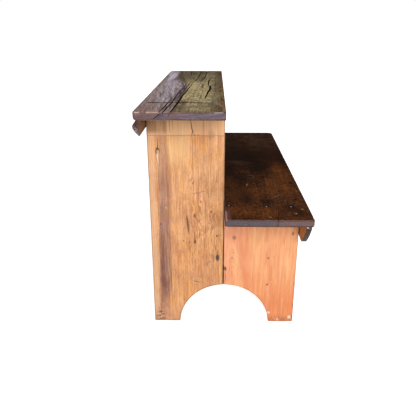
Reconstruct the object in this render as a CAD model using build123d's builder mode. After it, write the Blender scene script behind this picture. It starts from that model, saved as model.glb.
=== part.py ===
"""Two-tier bucket bench, nailed up from sawn boards.

Frame: +X along the bench, -Y to the front (the low tier), +Z up. The origin is on the floor,
under the middle of the bench. All sizes are in millimetres.
"""

import os

from build123d import *

# ---------------------------------------------------------------- driving sizes
# Shelves
upper_shelf_height = 750.0       # floor to the top of the upper shelf
lower_shelf_height = 446.0       # floor to the top of the lower shelf
shelf_length = 1160.0
shelf_thickness = 22.0
end_overhang = 155.0             # shelf end to the outer face of the end boards
upper_rear_overhang = 13.5
lower_front_overhang = 15.0
worn_rear_corner_radius = 28.0   # plan corners at the right-hand end, worn round
worn_front_corner_radius = 12.0
worn_lower_corner_radius = 24.0
crisp_corner_radius = 5.0        # plan corners at the left-hand end
softened_corner_radius = 11.0    # the upper shelf's rear one among them
upper_rear_arris_radius = 8.0    # lower arris along the rear of the upper shelf
lower_front_arris_radius = 7.0   # lower arris along the front of the lower shelf
top_arris_radius = 1.5
housing_depth = 5.0              # groove in the upper shelf that the tall boards stand in
housing_clearance = 0.2

# End boards
end_board_thickness = 22.0
tall_board_width = 235.0
short_board_width = 241.0
seam_gap = 0.5                   # between the edges of the tall and the short board
rear_foot_width = 88.0
front_foot_width = 84.0
arch_height = 145.0

# Rails
rear_rail_thickness = 16.5
rear_rail_depth = 49.0
rear_rail_setback = 9.0          # shelf end to rail end
rear_rail_end_height = 24.0      # plumb part of the rail's end, above the sweep
rear_rail_sweep_run = 20.0
rear_rail_sweep_radius = 60.0
upper_bevel_width = 11.0         # bevel along the rear rail's upper rear arris
upper_bevel_drop = 15.0
lower_bevel_width = 14.5         # bevel along its lower rear arris, nearly to a point
lower_bevel_rise = 25.0
front_rail_thickness = 16.5
front_rail_depth = 94.0
front_rail_setback = 35.0
front_rail_end_height = 19.0
front_rail_sweep_run = 71.0
front_rail_sweep_radius = 300.0

# Battens inside each end
batten_thickness = 22.0
batten_width = 130.0
batten_base_height = 225.0
batten_inset = 12.0              # batten end to the outer edge of the end boards
batten_chamfer = 4.0

# Cut nails
nail_head_length = 7.0
nail_head_width = 4.5
nail_head_thickness = 1.6
nail_shank_width = 3.6
nail_shank_gauge = 2.8
nail_tip_width = 1.4
nail_set = 0.5                   # head set below the wood
shelf_nail_length = 63.0
rail_nail_length = 57.0
batten_nail_length = 38.0
nail_spacing = 9.0                         # least wood between nails whose paths cross
upper_front_nail_margin = 30.0             # from the front edge of the tall board
lower_nail_insets = (13.0, 120.0, 192.0)   # from the rear edge of the short board
rear_rail_nail_drop = 19.5                 # below the shelf, between the rail's two bevels
rear_rail_nail_spread = 5.5                # either side of the end board's middle
front_rail_lower_nail_drop = 80.0
batten_upper_row = 98.0                    # above the batten's lower edge
batten_lower_row = 21.0
tall_upper_row_insets = (60.0, 142.0, 212.0)   # from the rear edge of the tall board
tall_lower_row_insets = (64.0, 214.0)
short_upper_row_insets = (32.0, 224.0)         # from the rear edge of the short board
short_lower_row_insets = (28.0, 148.0)

# ---------------------------------------------------------------- places worked out from them
rear_reach = max(rear_rail_thickness, upper_rear_overhang)
front_reach = max(front_rail_thickness, lower_front_overhang)
depth = rear_reach + tall_board_width + seam_gap + short_board_width + front_reach

tall_rear_y = depth / 2 - rear_reach
tall_front_y = tall_rear_y - tall_board_width
short_rear_y = tall_front_y - seam_gap
short_front_y = short_rear_y - short_board_width

half_length = shelf_length / 2
end_outer_x = half_length - end_overhang
end_inner_x = end_outer_x - end_board_thickness
end_middle_x = end_outer_x - end_board_thickness / 2

upper_underside = upper_shelf_height - shelf_thickness
lower_underside = lower_shelf_height - shelf_thickness
tall_board_top = upper_underside + housing_depth

arch_rear_y = tall_rear_y - rear_foot_width
arch_front_y = short_front_y + front_foot_width
arch_middle_y = (arch_rear_y + arch_front_y) / 2

shelf_nail_reach = shelf_nail_length - shelf_thickness
rear_rail_nail_reach = rail_nail_length - rear_rail_thickness
upper_rear_nail_inset = rear_rail_nail_reach + nail_spacing
upper_front_nail_inset = tall_board_width - upper_front_nail_margin
upper_middle_nail_inset = (upper_rear_nail_inset + upper_front_nail_inset) / 2
upper_nail_insets = (upper_rear_nail_inset, upper_middle_nail_inset, upper_front_nail_inset)
front_rail_nail_drops = (shelf_nail_reach + nail_spacing, front_rail_lower_nail_drop)

sides = {"left": -1, "right": 1}
cut_margin = 1.0                 # how far a cutting tool runs past the wood


# ---------------------------------------------------------------- cut nails
def cut_nail(length, recess=0.0):
    """A flat-headed cut nail, its shank down -Z from the wood's surface at Z = 0.

    A recess above zero carries the head's outline up past the surface, which makes the
    nail into the tool that cuts its own hole.
    """
    head_base = -nail_set - nail_head_thickness
    with BuildPart() as nail:
        with BuildSketch(Plane.XY.offset(head_base)):
            Rectangle(nail_head_length, nail_head_width)
        extrude(amount=nail_head_thickness + recess)
        with BuildSketch(Plane.XY.offset(head_base)):
            Rectangle(nail_shank_width, nail_shank_gauge)
        with BuildSketch(Plane.XY.offset(-length)):
            Rectangle(nail_tip_width, nail_shank_gauge)
        loft()
    return nail.part


def nail_hole(length):
    """The space that a nail of this length fills, open at the wood's surface."""
    return cut_nail(length, recess=nail_set + cut_margin)


def facing(x, y, z, tilt_x=0.0, tilt_y=0.0):
    """A nail's place: its head at (x, y, z), turned from +Z about X and Y."""
    return Location((x, y, z), (tilt_x, tilt_y, 0.0))


upper_nail_places = [
    facing(side * end_middle_x, tall_rear_y - inset, upper_shelf_height)
    for side in sides.values()
    for inset in upper_nail_insets
]
lower_nail_places = [
    facing(side * end_middle_x, short_rear_y - inset, lower_shelf_height)
    for side in sides.values()
    for inset in lower_nail_insets
]
rear_rail_nail_places = [
    facing(
        side * end_middle_x + spread,
        tall_rear_y + rear_rail_thickness,
        upper_underside - rear_rail_nail_drop,
        tilt_x=-90,
    )
    for side in sides.values()
    for spread in (-rear_rail_nail_spread, rear_rail_nail_spread)
]
front_rail_nail_places = [
    facing(side * end_middle_x, short_front_y - front_rail_thickness, lower_underside - drop, tilt_x=90)
    for side in sides.values()
    for drop in front_rail_nail_drops
]
batten_rows = [
    (tall_rear_y, tall_upper_row_insets, batten_upper_row),
    (tall_rear_y, tall_lower_row_insets, batten_lower_row),
    (short_rear_y, short_upper_row_insets, batten_upper_row),
    (short_rear_y, short_lower_row_insets, batten_lower_row),
]
batten_nail_places = [
    facing(side * end_outer_x, board_rear_y - inset, batten_base_height + row, tilt_y=side * 90)
    for side in sides.values()
    for board_rear_y, insets, row in batten_rows
    for inset in insets
]


# ---------------------------------------------------------------- upper shelf
with BuildPart() as upper_shelf:
    with BuildSketch(Plane.YZ.offset(-half_length)) as upper_section:
        with BuildLine():
            Polyline(
                (tall_front_y, upper_underside),
                (tall_rear_y + upper_rear_overhang, upper_underside),
                (tall_rear_y + upper_rear_overhang, upper_shelf_height),
                (tall_front_y, upper_shelf_height),
                close=True,
            )
        make_face()
        rear_lower = upper_section.vertices().group_by(Axis.Y)[0].sort_by(Axis.X)[-1]
        fillet(rear_lower, upper_rear_arris_radius)
    extrude(amount=shelf_length)
    with BuildSketch(Plane.XY.offset(upper_underside)) as upper_plan:
        with Locations((0, (tall_front_y + tall_rear_y + upper_rear_overhang) / 2)):
            Rectangle(shelf_length, tall_board_width + upper_rear_overhang)
        right_corners = upper_plan.vertices().group_by(Axis.X)[-1].sort_by(Axis.Y)
        left_corners = upper_plan.vertices().group_by(Axis.X)[0].sort_by(Axis.Y)
        fillet(right_corners[-1], worn_rear_corner_radius)
        fillet(right_corners[0], worn_front_corner_radius)
        fillet(left_corners[-1], softened_corner_radius)
        fillet(left_corners[0], crisp_corner_radius)
    extrude(amount=shelf_thickness, mode=Mode.INTERSECT)
    fillet(upper_shelf.faces().sort_by(Axis.Z)[-1].edges(), top_arris_radius)
    with BuildSketch(Plane.XY.offset(upper_underside)):
        with Locations(*[(side * end_middle_x, tall_front_y) for side in sides.values()]):
            Rectangle(
                end_board_thickness + 2 * housing_clearance,
                2 * (tall_board_width + housing_clearance),
            )
    extrude(amount=housing_depth, mode=Mode.SUBTRACT)
    with Locations(*upper_nail_places):
        add(nail_hole(shelf_nail_length), mode=Mode.SUBTRACT)
upper_shelf.part.label = "upper_shelf"

# ---------------------------------------------------------------- lower shelf
lower_shelf_width = short_board_width + lower_front_overhang
with BuildPart() as lower_shelf:
    with BuildSketch(Plane.YZ.offset(-half_length)) as lower_section:
        with BuildLine():
            Polyline(
                (short_rear_y - lower_shelf_width, lower_underside),
                (short_rear_y, lower_underside),
                (short_rear_y, lower_shelf_height),
                (short_rear_y - lower_shelf_width, lower_shelf_height),
                close=True,
            )
        make_face()
        front_lower = lower_section.vertices().group_by(Axis.Y)[0].sort_by(Axis.X)[0]
        fillet(front_lower, lower_front_arris_radius)
    extrude(amount=shelf_length)
    with BuildSketch(Plane.XY.offset(lower_underside)) as lower_plan:
        with Locations((0, short_rear_y - lower_shelf_width / 2)):
            Rectangle(shelf_length, lower_shelf_width)
        right_corners = lower_plan.vertices().group_by(Axis.X)[-1].sort_by(Axis.Y)
        left_corners = lower_plan.vertices().group_by(Axis.X)[0]
        fillet(right_corners[0], worn_lower_corner_radius)
        fillet(right_corners[-1], crisp_corner_radius)
        fillet(left_corners, crisp_corner_radius)
    extrude(amount=shelf_thickness, mode=Mode.INTERSECT)
    fillet(lower_shelf.faces().sort_by(Axis.Z)[-1].edges(), top_arris_radius)
    with Locations(*lower_nail_places):
        add(nail_hole(shelf_nail_length), mode=Mode.SUBTRACT)
lower_shelf.part.label = "lower_shelf"


# ---------------------------------------------------------------- end boards
def end_board(side, rear_y, front_y, top_z, nail_groups):
    """One upright board of an end, with its share of the foot arch cut away."""
    inner_x = side * end_inner_x
    with BuildPart() as board:
        with BuildSketch(Plane.YZ.offset(min(inner_x, side * end_outer_x))):
            with Locations(((rear_y + front_y) / 2, top_z / 2)):
                Rectangle(rear_y - front_y, top_z)
            with BuildLine():
                ThreePointArc((arch_rear_y, 0), (arch_middle_y, arch_height), (arch_front_y, 0))
                Line((arch_front_y, 0), (arch_rear_y, 0))
            make_face(mode=Mode.SUBTRACT)
        extrude(amount=end_board_thickness)
        for places, length in nail_groups:
            with Locations(*places):
                add(nail_hole(length), mode=Mode.SUBTRACT)
    return board.part


tall_end_boards = {}
short_end_boards = {}
for name, side in sides.items():
    tall_end_boards[name] = end_board(
        side,
        tall_rear_y,
        tall_front_y,
        tall_board_top,
        [
            (upper_nail_places, shelf_nail_length),
            (rear_rail_nail_places, rail_nail_length),
            (batten_nail_places, batten_nail_length),
        ],
    )
    tall_end_boards[name].label = name + "_tall_end_board"
    short_end_boards[name] = end_board(
        side,
        short_rear_y,
        short_front_y,
        lower_underside,
        [
            (lower_nail_places, shelf_nail_length),
            (front_rail_nail_places, rail_nail_length),
            (batten_nail_places, batten_nail_length),
        ],
    )
    short_end_boards[name].label = name + "_short_end_board"


# ---------------------------------------------------------------- rails
def rail_outline(inner_y, rail_half, top_z, rail_depth, end_height, sweep_run, sweep_radius):
    """Front view of a rail: plumb ends that sweep round to the lower edge."""
    sweep_top = top_z - end_height
    bottom_z = top_z - rail_depth
    with BuildSketch(Plane.XZ.offset(-inner_y)) as outline:
        with BuildLine():
            Line((0, top_z), (rail_half, top_z))
            Line((rail_half, top_z), (rail_half, sweep_top))
            RadiusArc((rail_half, sweep_top), (rail_half - sweep_run, bottom_z), sweep_radius)
            Line((rail_half - sweep_run, bottom_z), (0, bottom_z))
            mirror(about=Plane.YZ)
        make_face()
    return outline.sketch


with BuildPart() as rear_rail:
    outline = rail_outline(
        tall_rear_y,
        half_length - rear_rail_setback,
        upper_underside,
        rear_rail_depth,
        rear_rail_end_height,
        rear_rail_sweep_run,
        rear_rail_sweep_radius,
    )
    extrude(outline, amount=-rear_rail_thickness)
    rail_rear_y = tall_rear_y + rear_rail_thickness
    rail_bottom = upper_underside - rear_rail_depth
    with BuildSketch(Plane.YZ.offset(-half_length)):
        with BuildLine():
            Polyline(
                (tall_rear_y, upper_underside),
                (rail_rear_y - upper_bevel_width, upper_underside),
                (rail_rear_y, upper_underside - upper_bevel_drop),
                (rail_rear_y, rail_bottom + lower_bevel_rise),
                (rail_rear_y - lower_bevel_width, rail_bottom),
                (tall_rear_y, rail_bottom),
                close=True,
            )
        make_face()
    extrude(amount=shelf_length, mode=Mode.INTERSECT)
    with Locations(*rear_rail_nail_places):
        add(nail_hole(rail_nail_length), mode=Mode.SUBTRACT)
rear_rail.part.label = "rear_rail"

with BuildPart() as front_rail:
    outline = rail_outline(
        short_front_y,
        half_length - front_rail_setback,
        lower_underside,
        front_rail_depth,
        front_rail_end_height,
        front_rail_sweep_run,
        front_rail_sweep_radius,
    )
    extrude(outline, amount=front_rail_thickness)
    with Locations(*front_rail_nail_places):
        add(nail_hole(rail_nail_length), mode=Mode.SUBTRACT)
front_rail.part.label = "front_rail"

# ---------------------------------------------------------------- battens
batten_length = tall_rear_y - short_front_y - 2 * batten_inset
end_battens = {}
for name, side in sides.items():
    batten_x = side * (end_inner_x - batten_thickness / 2)
    with BuildPart() as batten:
        with BuildSketch(Plane.XY.offset(batten_base_height)):
            with Locations((batten_x, (tall_rear_y + short_front_y) / 2)):
                Rectangle(batten_thickness, batten_length)
        extrude(amount=batten_width)
        inner_face = batten.faces().sort_by(Axis.X)[0 if side > 0 else -1]
        chamfer(inner_face.edges(), batten_chamfer)
        with Locations(*batten_nail_places):
            add(nail_hole(batten_nail_length), mode=Mode.SUBTRACT)
    end_battens[name] = batten.part
    end_battens[name].label = name + "_end_batten"


# ---------------------------------------------------------------- nails, one group for each use
def nail_group(label, places, length):
    """Every nail of one use, each a solid of its own."""
    with BuildPart() as group:
        with Locations(*places):
            add(cut_nail(length))
    group.part.label = label
    return group.part


nail_groups = [
    nail_group("upper_shelf_nails", upper_nail_places, shelf_nail_length),
    nail_group("lower_shelf_nails", lower_nail_places, shelf_nail_length),
    nail_group("rear_rail_nails", rear_rail_nail_places, rail_nail_length),
    nail_group("front_rail_nails", front_rail_nail_places, rail_nail_length),
    nail_group("batten_nails", batten_nail_places, batten_nail_length),
]

# ---------------------------------------------------------------- one STEP file for each sub-part
pieces = [
    upper_shelf.part,
    lower_shelf.part,
    *tall_end_boards.values(),
    *short_end_boards.values(),
    rear_rail.part,
    front_rail.part,
    *end_battens.values(),
    *nail_groups,
]
os.makedirs("parts", exist_ok=True)
for piece in pieces:
    export_step(piece, f"parts/{piece.label}.step")
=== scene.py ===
"""Bucket bench, dressed: old pine boards, stained shelves and cut nails over the fixed frame.

Every board is one closed surface worked out with numpy. Lengths in the functions are
millimetres in the frame's own axes, and they become metres where a mesh is filled.
"""

import math

import bpy
import numpy as np
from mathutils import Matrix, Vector


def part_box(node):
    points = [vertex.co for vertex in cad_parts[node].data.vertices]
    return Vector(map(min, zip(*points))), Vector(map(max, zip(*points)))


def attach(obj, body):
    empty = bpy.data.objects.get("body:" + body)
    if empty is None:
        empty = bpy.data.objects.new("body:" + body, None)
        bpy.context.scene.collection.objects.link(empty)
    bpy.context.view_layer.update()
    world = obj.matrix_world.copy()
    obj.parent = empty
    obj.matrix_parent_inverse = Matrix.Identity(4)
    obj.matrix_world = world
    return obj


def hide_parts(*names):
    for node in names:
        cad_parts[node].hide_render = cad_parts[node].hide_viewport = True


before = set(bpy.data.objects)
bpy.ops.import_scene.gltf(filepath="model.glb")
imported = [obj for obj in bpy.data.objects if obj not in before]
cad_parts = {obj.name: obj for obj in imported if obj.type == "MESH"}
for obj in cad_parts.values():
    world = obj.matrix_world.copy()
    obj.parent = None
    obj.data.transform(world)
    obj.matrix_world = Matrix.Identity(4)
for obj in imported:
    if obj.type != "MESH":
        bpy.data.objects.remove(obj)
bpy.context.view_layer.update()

bl_info = {
    "name": "Bucket Bench",
    "version": (1, 0, 0),
    "blender": (4, 5, 0),
    "location": "3D View > Sidebar > Bench",
    "description": "Two-tier nailed pine bench with stained shelves and arched board ends",
    "category": "Add Mesh",
}

MM = 0.001
BODY = "root"
FAR = 99.0  # distance to an arris that stands for none nearby
EDGE_ROWS = np.array([0.35, 0.7, 1.1, 1.6, 2.2, 3.0, 4.0, 5.5])  # insets of the fine rows at a board's edge
END_MIDDLE, END_FACE = 414.0, 425.0  # x of the middle and of the outer face of an end


def linear(red, green, blue):
    """A screen colour from 0 to 255 as linear light: c / 12.92 below 0.04045, else the 2.4 power curve."""
    c = np.array([red, green, blue], float) / 255.0
    c = np.where(c <= 0.04045, c / 12.92, ((c + 0.055) / 1.055) ** 2.4)
    return tuple(float(v) for v in c)


def tone(red, green, blue):
    return (*linear(red, green, blue), 1.0)


def span(node):
    """Lowest and highest corner of a CAD node, in millimetres."""
    low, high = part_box(node)
    return np.array(low, float) / MM, np.array(high, float) / MM


# ------------------------------------------------------------------ numbers worked out as whole arrays
def ripple(u, v, seed, octaves=3):
    """Smooth noise from about -1 to 1.

    Random heights stand at the whole numbers of (u, v) and are joined by the smoothstep
    curve 3t^2 - 2t^3. Each further octave has half the size and half the height.
    """
    rng = np.random.default_rng(seed)
    u, v = np.broadcast_arrays(np.asarray(u, float), np.asarray(v, float))
    total, reach = np.zeros(u.shape), 0.0
    for octave in range(octaves):
        heights = rng.uniform(-1.0, 1.0, (64, 64))
        iu, iv = np.floor(u).astype(int), np.floor(v).astype(int)
        fu, fv = u - iu, v - iv
        fu, fv = fu * fu * (3 - 2 * fu), fv * fv * (3 - 2 * fv)
        near = heights[iu % 64, iv % 64] * (1 - fu) + heights[(iu + 1) % 64, iv % 64] * fu
        far = heights[iu % 64, (iv + 1) % 64] * (1 - fu) + heights[(iu + 1) % 64, (iv + 1) % 64] * fu
        total = total + (near * (1 - fv) + far * fv) * 0.5**octave
        reach += 0.5**octave
        u, v = 2 * u + 13.7, 2 * v + 5.1
    return total / reach


def steps(low, high, step, bias=0.0, extra=()):
    """Places from low to high: fine near both ends, then about step apart, closer at the low end by bias."""
    fine = np.array([0.0, *EDGE_ROWS])
    if high - low < 4 * fine[-1]:
        return np.linspace(low, high, max(4, int((high - low) / step)) + 1)
    count = max(2, int(round((high - low - 2 * fine[-1]) / step)))
    t = np.linspace(0.0, 1.0, count + 1)
    t = (1 - bias) * t + bias * t * t
    middle = low + fine[-1] + t[1:-1] * (high - low - 2 * fine[-1])
    places = np.concatenate([low + fine, middle, high - fine[::-1], np.array(extra, float)])
    places = np.sort(places)
    return places[np.concatenate([[True], np.diff(places) > 0.08])]


def rounded_corner(a, b, corner, toward, radius):
    """Draws a square corner in to a round one.

    Inside the square of side radius at the corner, a point at (p, q) from the square's
    inner corner moves to (p, q) * max(p, q) / hypot(p, q), so squares become circles.
    """
    inner = (corner[0] - toward[0] * radius, corner[1] - toward[1] * radius)
    p, q = (a - inner[0]) * toward[0] / radius, (b - inner[1]) * toward[1] / radius
    inside = (p > 0) & (q > 0) & (p < 1.5) & (q < 1.5)
    pull = np.where(inside, np.maximum(p, q) / np.maximum(np.hypot(p, q), 1e-9), 1.0)
    a = np.where(inside, inner[0] + toward[0] * radius * p * pull, a)
    b = np.where(inside, inner[1] + toward[1] * radius * q * pull, b)
    return a, b


def crack_rows(along, low, high, cracks, step, seed):
    """Rows of a board's grid, which follow the cracks in it, given from the low side to the high side.

    Each crack is a list of (along, across, half width). Its centre line joins the points,
    evened over 20 mm, with a small wander, and seven rows lie across it, from 1.6 half
    widths to one side to 1.6 to the other. Lines are pushed apart where their rows would
    meet, and even rows fill the bands between. Returns the rows' across positions, how far
    into a crack each point is, from 0 to 1, and its depth, 0.8 + 1.3 half widths of it.
    """
    fine = np.arange(along[0] - 40, along[-1] + 40, 2.0)
    centres, halves = [], []
    for k, points in enumerate(cracks):
        pa, pb, pw = np.array(points, float).T
        even = np.convolve(np.interp(fine, pa, pb), np.ones(11) / 11, "same")
        even[:8], even[-8:] = even[8], even[-9]
        wander = 0.5 * ripple(along / 9, 0, seed + k) + 1.0 * ripple(along / 45, 5, seed + k)
        centres.append(np.interp(along, fine, even) + wander)
        half = np.interp(along, pa, pw, left=0.0, right=0.0)
        halves.append(half * (1 + 0.4 * ripple(along / 6, 9, seed + k)))
    wides = [np.maximum(half, 0.3) for half in halves]
    inset = EDGE_ROWS[-1] + 1.0
    for k, wide in enumerate(wides):
        floor_line = low + inset if k == 0 else centres[k - 1] + 1.6 * wides[k - 1] + 0.6
        centres[k] = np.maximum(centres[k], floor_line + 1.6 * wide)
    for k in range(len(cracks) - 1, -1, -1):
        top_line = high - inset if k == len(cracks) - 1 else centres[k + 1] - 1.6 * wides[k + 1] - 0.6
        centres[k] = np.minimum(centres[k], top_line - 1.6 * wides[k])
    nothing = np.zeros(along.shape)
    rows = [np.full(along.shape, low + d) for d in (0.0, *EDGE_ROWS)]
    inside, depth = [nothing] * len(rows), [nothing] * len(rows)

    def fill(top):
        bottom = rows[-1]
        for t in np.linspace(0, 1, max(1, int(round(np.mean(top - bottom) / step))) + 1)[1:-1]:
            rows.append(bottom + (top - bottom) * t)
            inside.append(nothing)
            depth.append(nothing)

    for centre, half, wide in zip(centres, halves, wides):
        fill(centre - 1.6 * wide)
        for o in (-1.6, -0.95, -0.45, 0.0, 0.45, 0.95, 1.6):
            share = np.clip(half / 0.5, 0, 1) * max(0.0, 1 - o * o) ** 0.6
            rows.append(centre + o * wide)
            inside.append(share)
            depth.append(share * np.minimum(0.8 + 1.3 * half, 4.2))
    fill(np.full(along.shape, high - EDGE_ROWS[-1]))
    for d in (*EDGE_ROWS[::-1], 0.0):
        rows.append(np.full(along.shape, high - d))
        inside.append(nothing)
        depth.append(nothing)
    return np.array(rows).T, np.array(inside).T, np.array(depth).T


def outline_loop(n, m):
    """Grid places round the outline of an (n + 1) by (m + 1) grid, once round."""
    i = np.concatenate([np.zeros(m, int), np.arange(n), np.full(m, n), np.arange(n, 0, -1)])
    j = np.concatenate([np.arange(m), np.full(n, m), np.arange(m, 0, -1), np.zeros(n, int)])
    return i, j


def board_surface(a, b, thickness, front_arris, back_arris, relief, groove, seed, wobble=0.22):
    """One closed board over the flat grid (a, b), with its broad faces at c = +- thickness / 2.

    The outline of the grid is the board's edge. At the angle f on a rounded arris of radius
    r, the surface lies r (1 - sin f) inside the outline and r (1 - cos f) below the face, and
    r changes from place to place with wear. Between the two arrises the edge is plumb, apart
    from a small wobble inwards. The faces' grids are drawn in by r at the outline, which
    fades away from it as (1 - s)^6. Returns the points, the quads and the fields of each point.
    """
    n, m = a.shape[0] - 1, a.shape[1] - 1
    i, j = outline_loop(n, m)
    la, lb = a[i, j], b[i, j]
    back_step = np.stack([la - np.roll(la, 1), lb - np.roll(lb, 1)])
    back_step /= np.maximum(np.hypot(*back_step), 1e-9)
    direction = back_step + np.roll(back_step, -1, axis=1)
    direction /= np.maximum(np.hypot(*direction), 1e-9)
    turn = np.sign(np.sum(la * np.roll(lb, -1) - np.roll(la, -1) * lb))
    normal = np.stack([direction[1], -direction[0]]) * turn

    def drawn_in(radius):
        s = np.linspace(0, 1, m + 1)[None, :]
        t = np.linspace(0, 1, n + 1)[:, None]
        s0, s1, t0, t1 = (1 - s) ** 6, s**6, (1 - t) ** 6, t**6
        out = []
        for part in range(2):
            edge = np.zeros(a.shape)
            edge[i, j] = -normal[part] * radius
            blend = s0 * edge[:, :1] + s1 * edge[:, -1:] + t0 * edge[:1, :] + t1 * edge[-1:, :]
            corners = s0 * t0 * edge[0, 0] + s1 * t0 * edge[0, -1]
            blend -= corners + s0 * t1 * edge[-1, 0] + s1 * t1 * edge[-1, -1]
            out.append(blend)
        return a + out[0], b + out[1]

    half = thickness / 2
    rf, rb = front_arris(la, lb), back_arris(la, lb)
    fa, fb = drawn_in(rf)
    ba, bb = drawn_in(rb)
    front_c = half + relief(fa, fb, 1) - groove
    back_c = -half - relief(ba, bb, -1)
    quarter = np.radians([18.0, 36.0, 54.0, 72.0, 90.0])
    ring, fields = [], []
    lift_f, lift_b = front_c[i, j] - half, back_c[i, j] + half
    rough = -wobble * (0.5 + 0.5 * ripple(np.arange(la.size) / 9.0, 0.0, seed + 3, 4))

    def add_arris(radius, lift, side, angles):
        for f in angles:
            inset = radius * (1 - math.sin(f)) - rough * math.sin(f)
            ring.append((la - normal[0] * inset, lb - normal[1] * inset,
                         side * (half - radius * (1 - math.cos(f))) + lift * (1 - f / quarter[-1])))
            fields.append((np.abs(f - math.pi / 4) * radius, np.zeros(la.size)))

    add_arris(rf, lift_f, 1, quarter)
    for t in np.linspace(0, 1, 7)[1:-1]:
        c = (half - rf) * (1 - t) + (-half + rb) * t
        inset = -rough * (1 + 0.6 * ripple(np.arange(la.size) / 5.0, t * 4, seed + 4, 3))
        ring.append((la - normal[0] * inset, lb - normal[1] * inset, c))
        fields.append((np.minimum((half - rf) - c, c - (-half + rb)) + 0.8, np.ones(la.size)))
    add_arris(rb, lift_b, -1, quarter[::-1])
    size = (n + 1) * (m + 1)
    points = [np.stack([fa, fb, front_c], -1).reshape(-1, 3), np.stack([ba, bb, back_c], -1).reshape(-1, 3)]
    points += [np.stack(r, -1) for r in ring]
    order = np.arange(size).reshape(n + 1, m + 1)
    front = np.stack([order[:-1, :-1], order[1:, :-1], order[1:, 1:], order[:-1, 1:]], -1).reshape(-1, 4)
    back = front[:, ::-1] + size
    loops = [order[i, j], *(2 * size + k * la.size + np.arange(la.size) for k in range(len(ring))),
             order[i, j] + size]
    sides = [np.stack([upper, np.roll(upper, -1), np.roll(lower, -1), lower], -1)
             for upper, lower in zip(loops[:-1], loops[1:])]
    quads = np.concatenate([front, back] + sides)
    points = np.concatenate(points)
    edge = np.concatenate([np.full(2 * size, FAR)] + [f[0] for f in fields])
    wall = np.concatenate([np.zeros(2 * size)] + [f[1] for f in fields])
    deep = np.zeros(points.shape[0])
    deep[:size] = groove.reshape(-1)
    return points, quads, {"edge": edge, "wall": wall, "groove": deep}, (fa, fb, ba, bb, size)


def closed_volume(points, quads):
    """Volume inside a closed skin: the sum over its triangles of p . (q x r) / 6, negative if inside out."""
    p, q, r, s = (points[quads[:, k]] for k in range(4))
    return float(np.sum(p * np.cross(q, r)) + np.sum(p * np.cross(r, s))) / 6


def make_piece(name, points, quads, fields, material, nodes):
    """Fills a mesh from whole arrays, gives it its fields as attributes, and sets it in the frame."""
    if closed_volume(points, quads) < 0:
        quads = quads[:, ::-1]
    mesh = bpy.data.meshes.new(name)
    mesh.vertices.add(len(points))
    mesh.vertices.foreach_set("co", (points * MM).astype(np.float32).ravel())
    mesh.loops.add(quads.size)
    mesh.loops.foreach_set("vertex_index", quads.astype(np.int32).ravel())
    mesh.polygons.add(len(quads))
    mesh.polygons.foreach_set("loop_start", np.arange(0, quads.size, 4, dtype=np.int32))
    mesh.update(calc_edges=True)
    if mesh.validate():
        raise RuntimeError(name + " has faces that Blender had to mend")
    for key, value in fields.items():
        attribute = mesh.attributes.new(key, "FLOAT", "POINT")
        attribute.data.foreach_set("value", value.astype(np.float32))
    mesh.shade_smooth()
    mesh.materials.append(material)
    piece = bpy.data.objects.new(name, mesh)
    bpy.context.scene.collection.objects.link(piece)
    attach(piece, BODY)
    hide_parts(*nodes)
    return piece


def worn(base, amount, seed, chips=()):
    """An arris radius that changes along the outline: base (1 + amount noise), more where a chip is.

    A chip at (a, b) of the given size and reach adds size * exp(-(distance / reach)^2).
    """
    def radius(a, b):
        r = (base(a, b) if callable(base) else base) * (1 + amount * ripple(a / 17, b / 17, seed, 3))
        for ca, cb, size, reach in chips:
            r = r + size * np.exp(-((a - ca) ** 2 + (b - cb) ** 2) / reach**2)
        return np.maximum(r, 0.5)
    return radius


def hand_planed(seed, dents=(), deep=0.16):
    """Relief of a broad face, never above the sawn size: long plane strokes, finer waves and dents."""
    def relief(a, b, side):
        r = -deep * (1.2 + ripple(a / 260, b / 38 + 40 * side, seed, 2))
        r = r - 0.06 * (1 + ripple(a / 42, b / 7, seed + side, 3))
        for da, db, size, reach in dents:
            r = r - size * np.exp(-((a - da) ** 2 + (b - db) ** 2) / reach**2) * (side > 0)
        return r
    return relief


def planed(context, seed, dents=()):
    """Relief of a broad face with plane marks of the depth that is set."""
    return hand_planed(seed, dents, sizes_of(context).plane_depth / MM)


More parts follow.
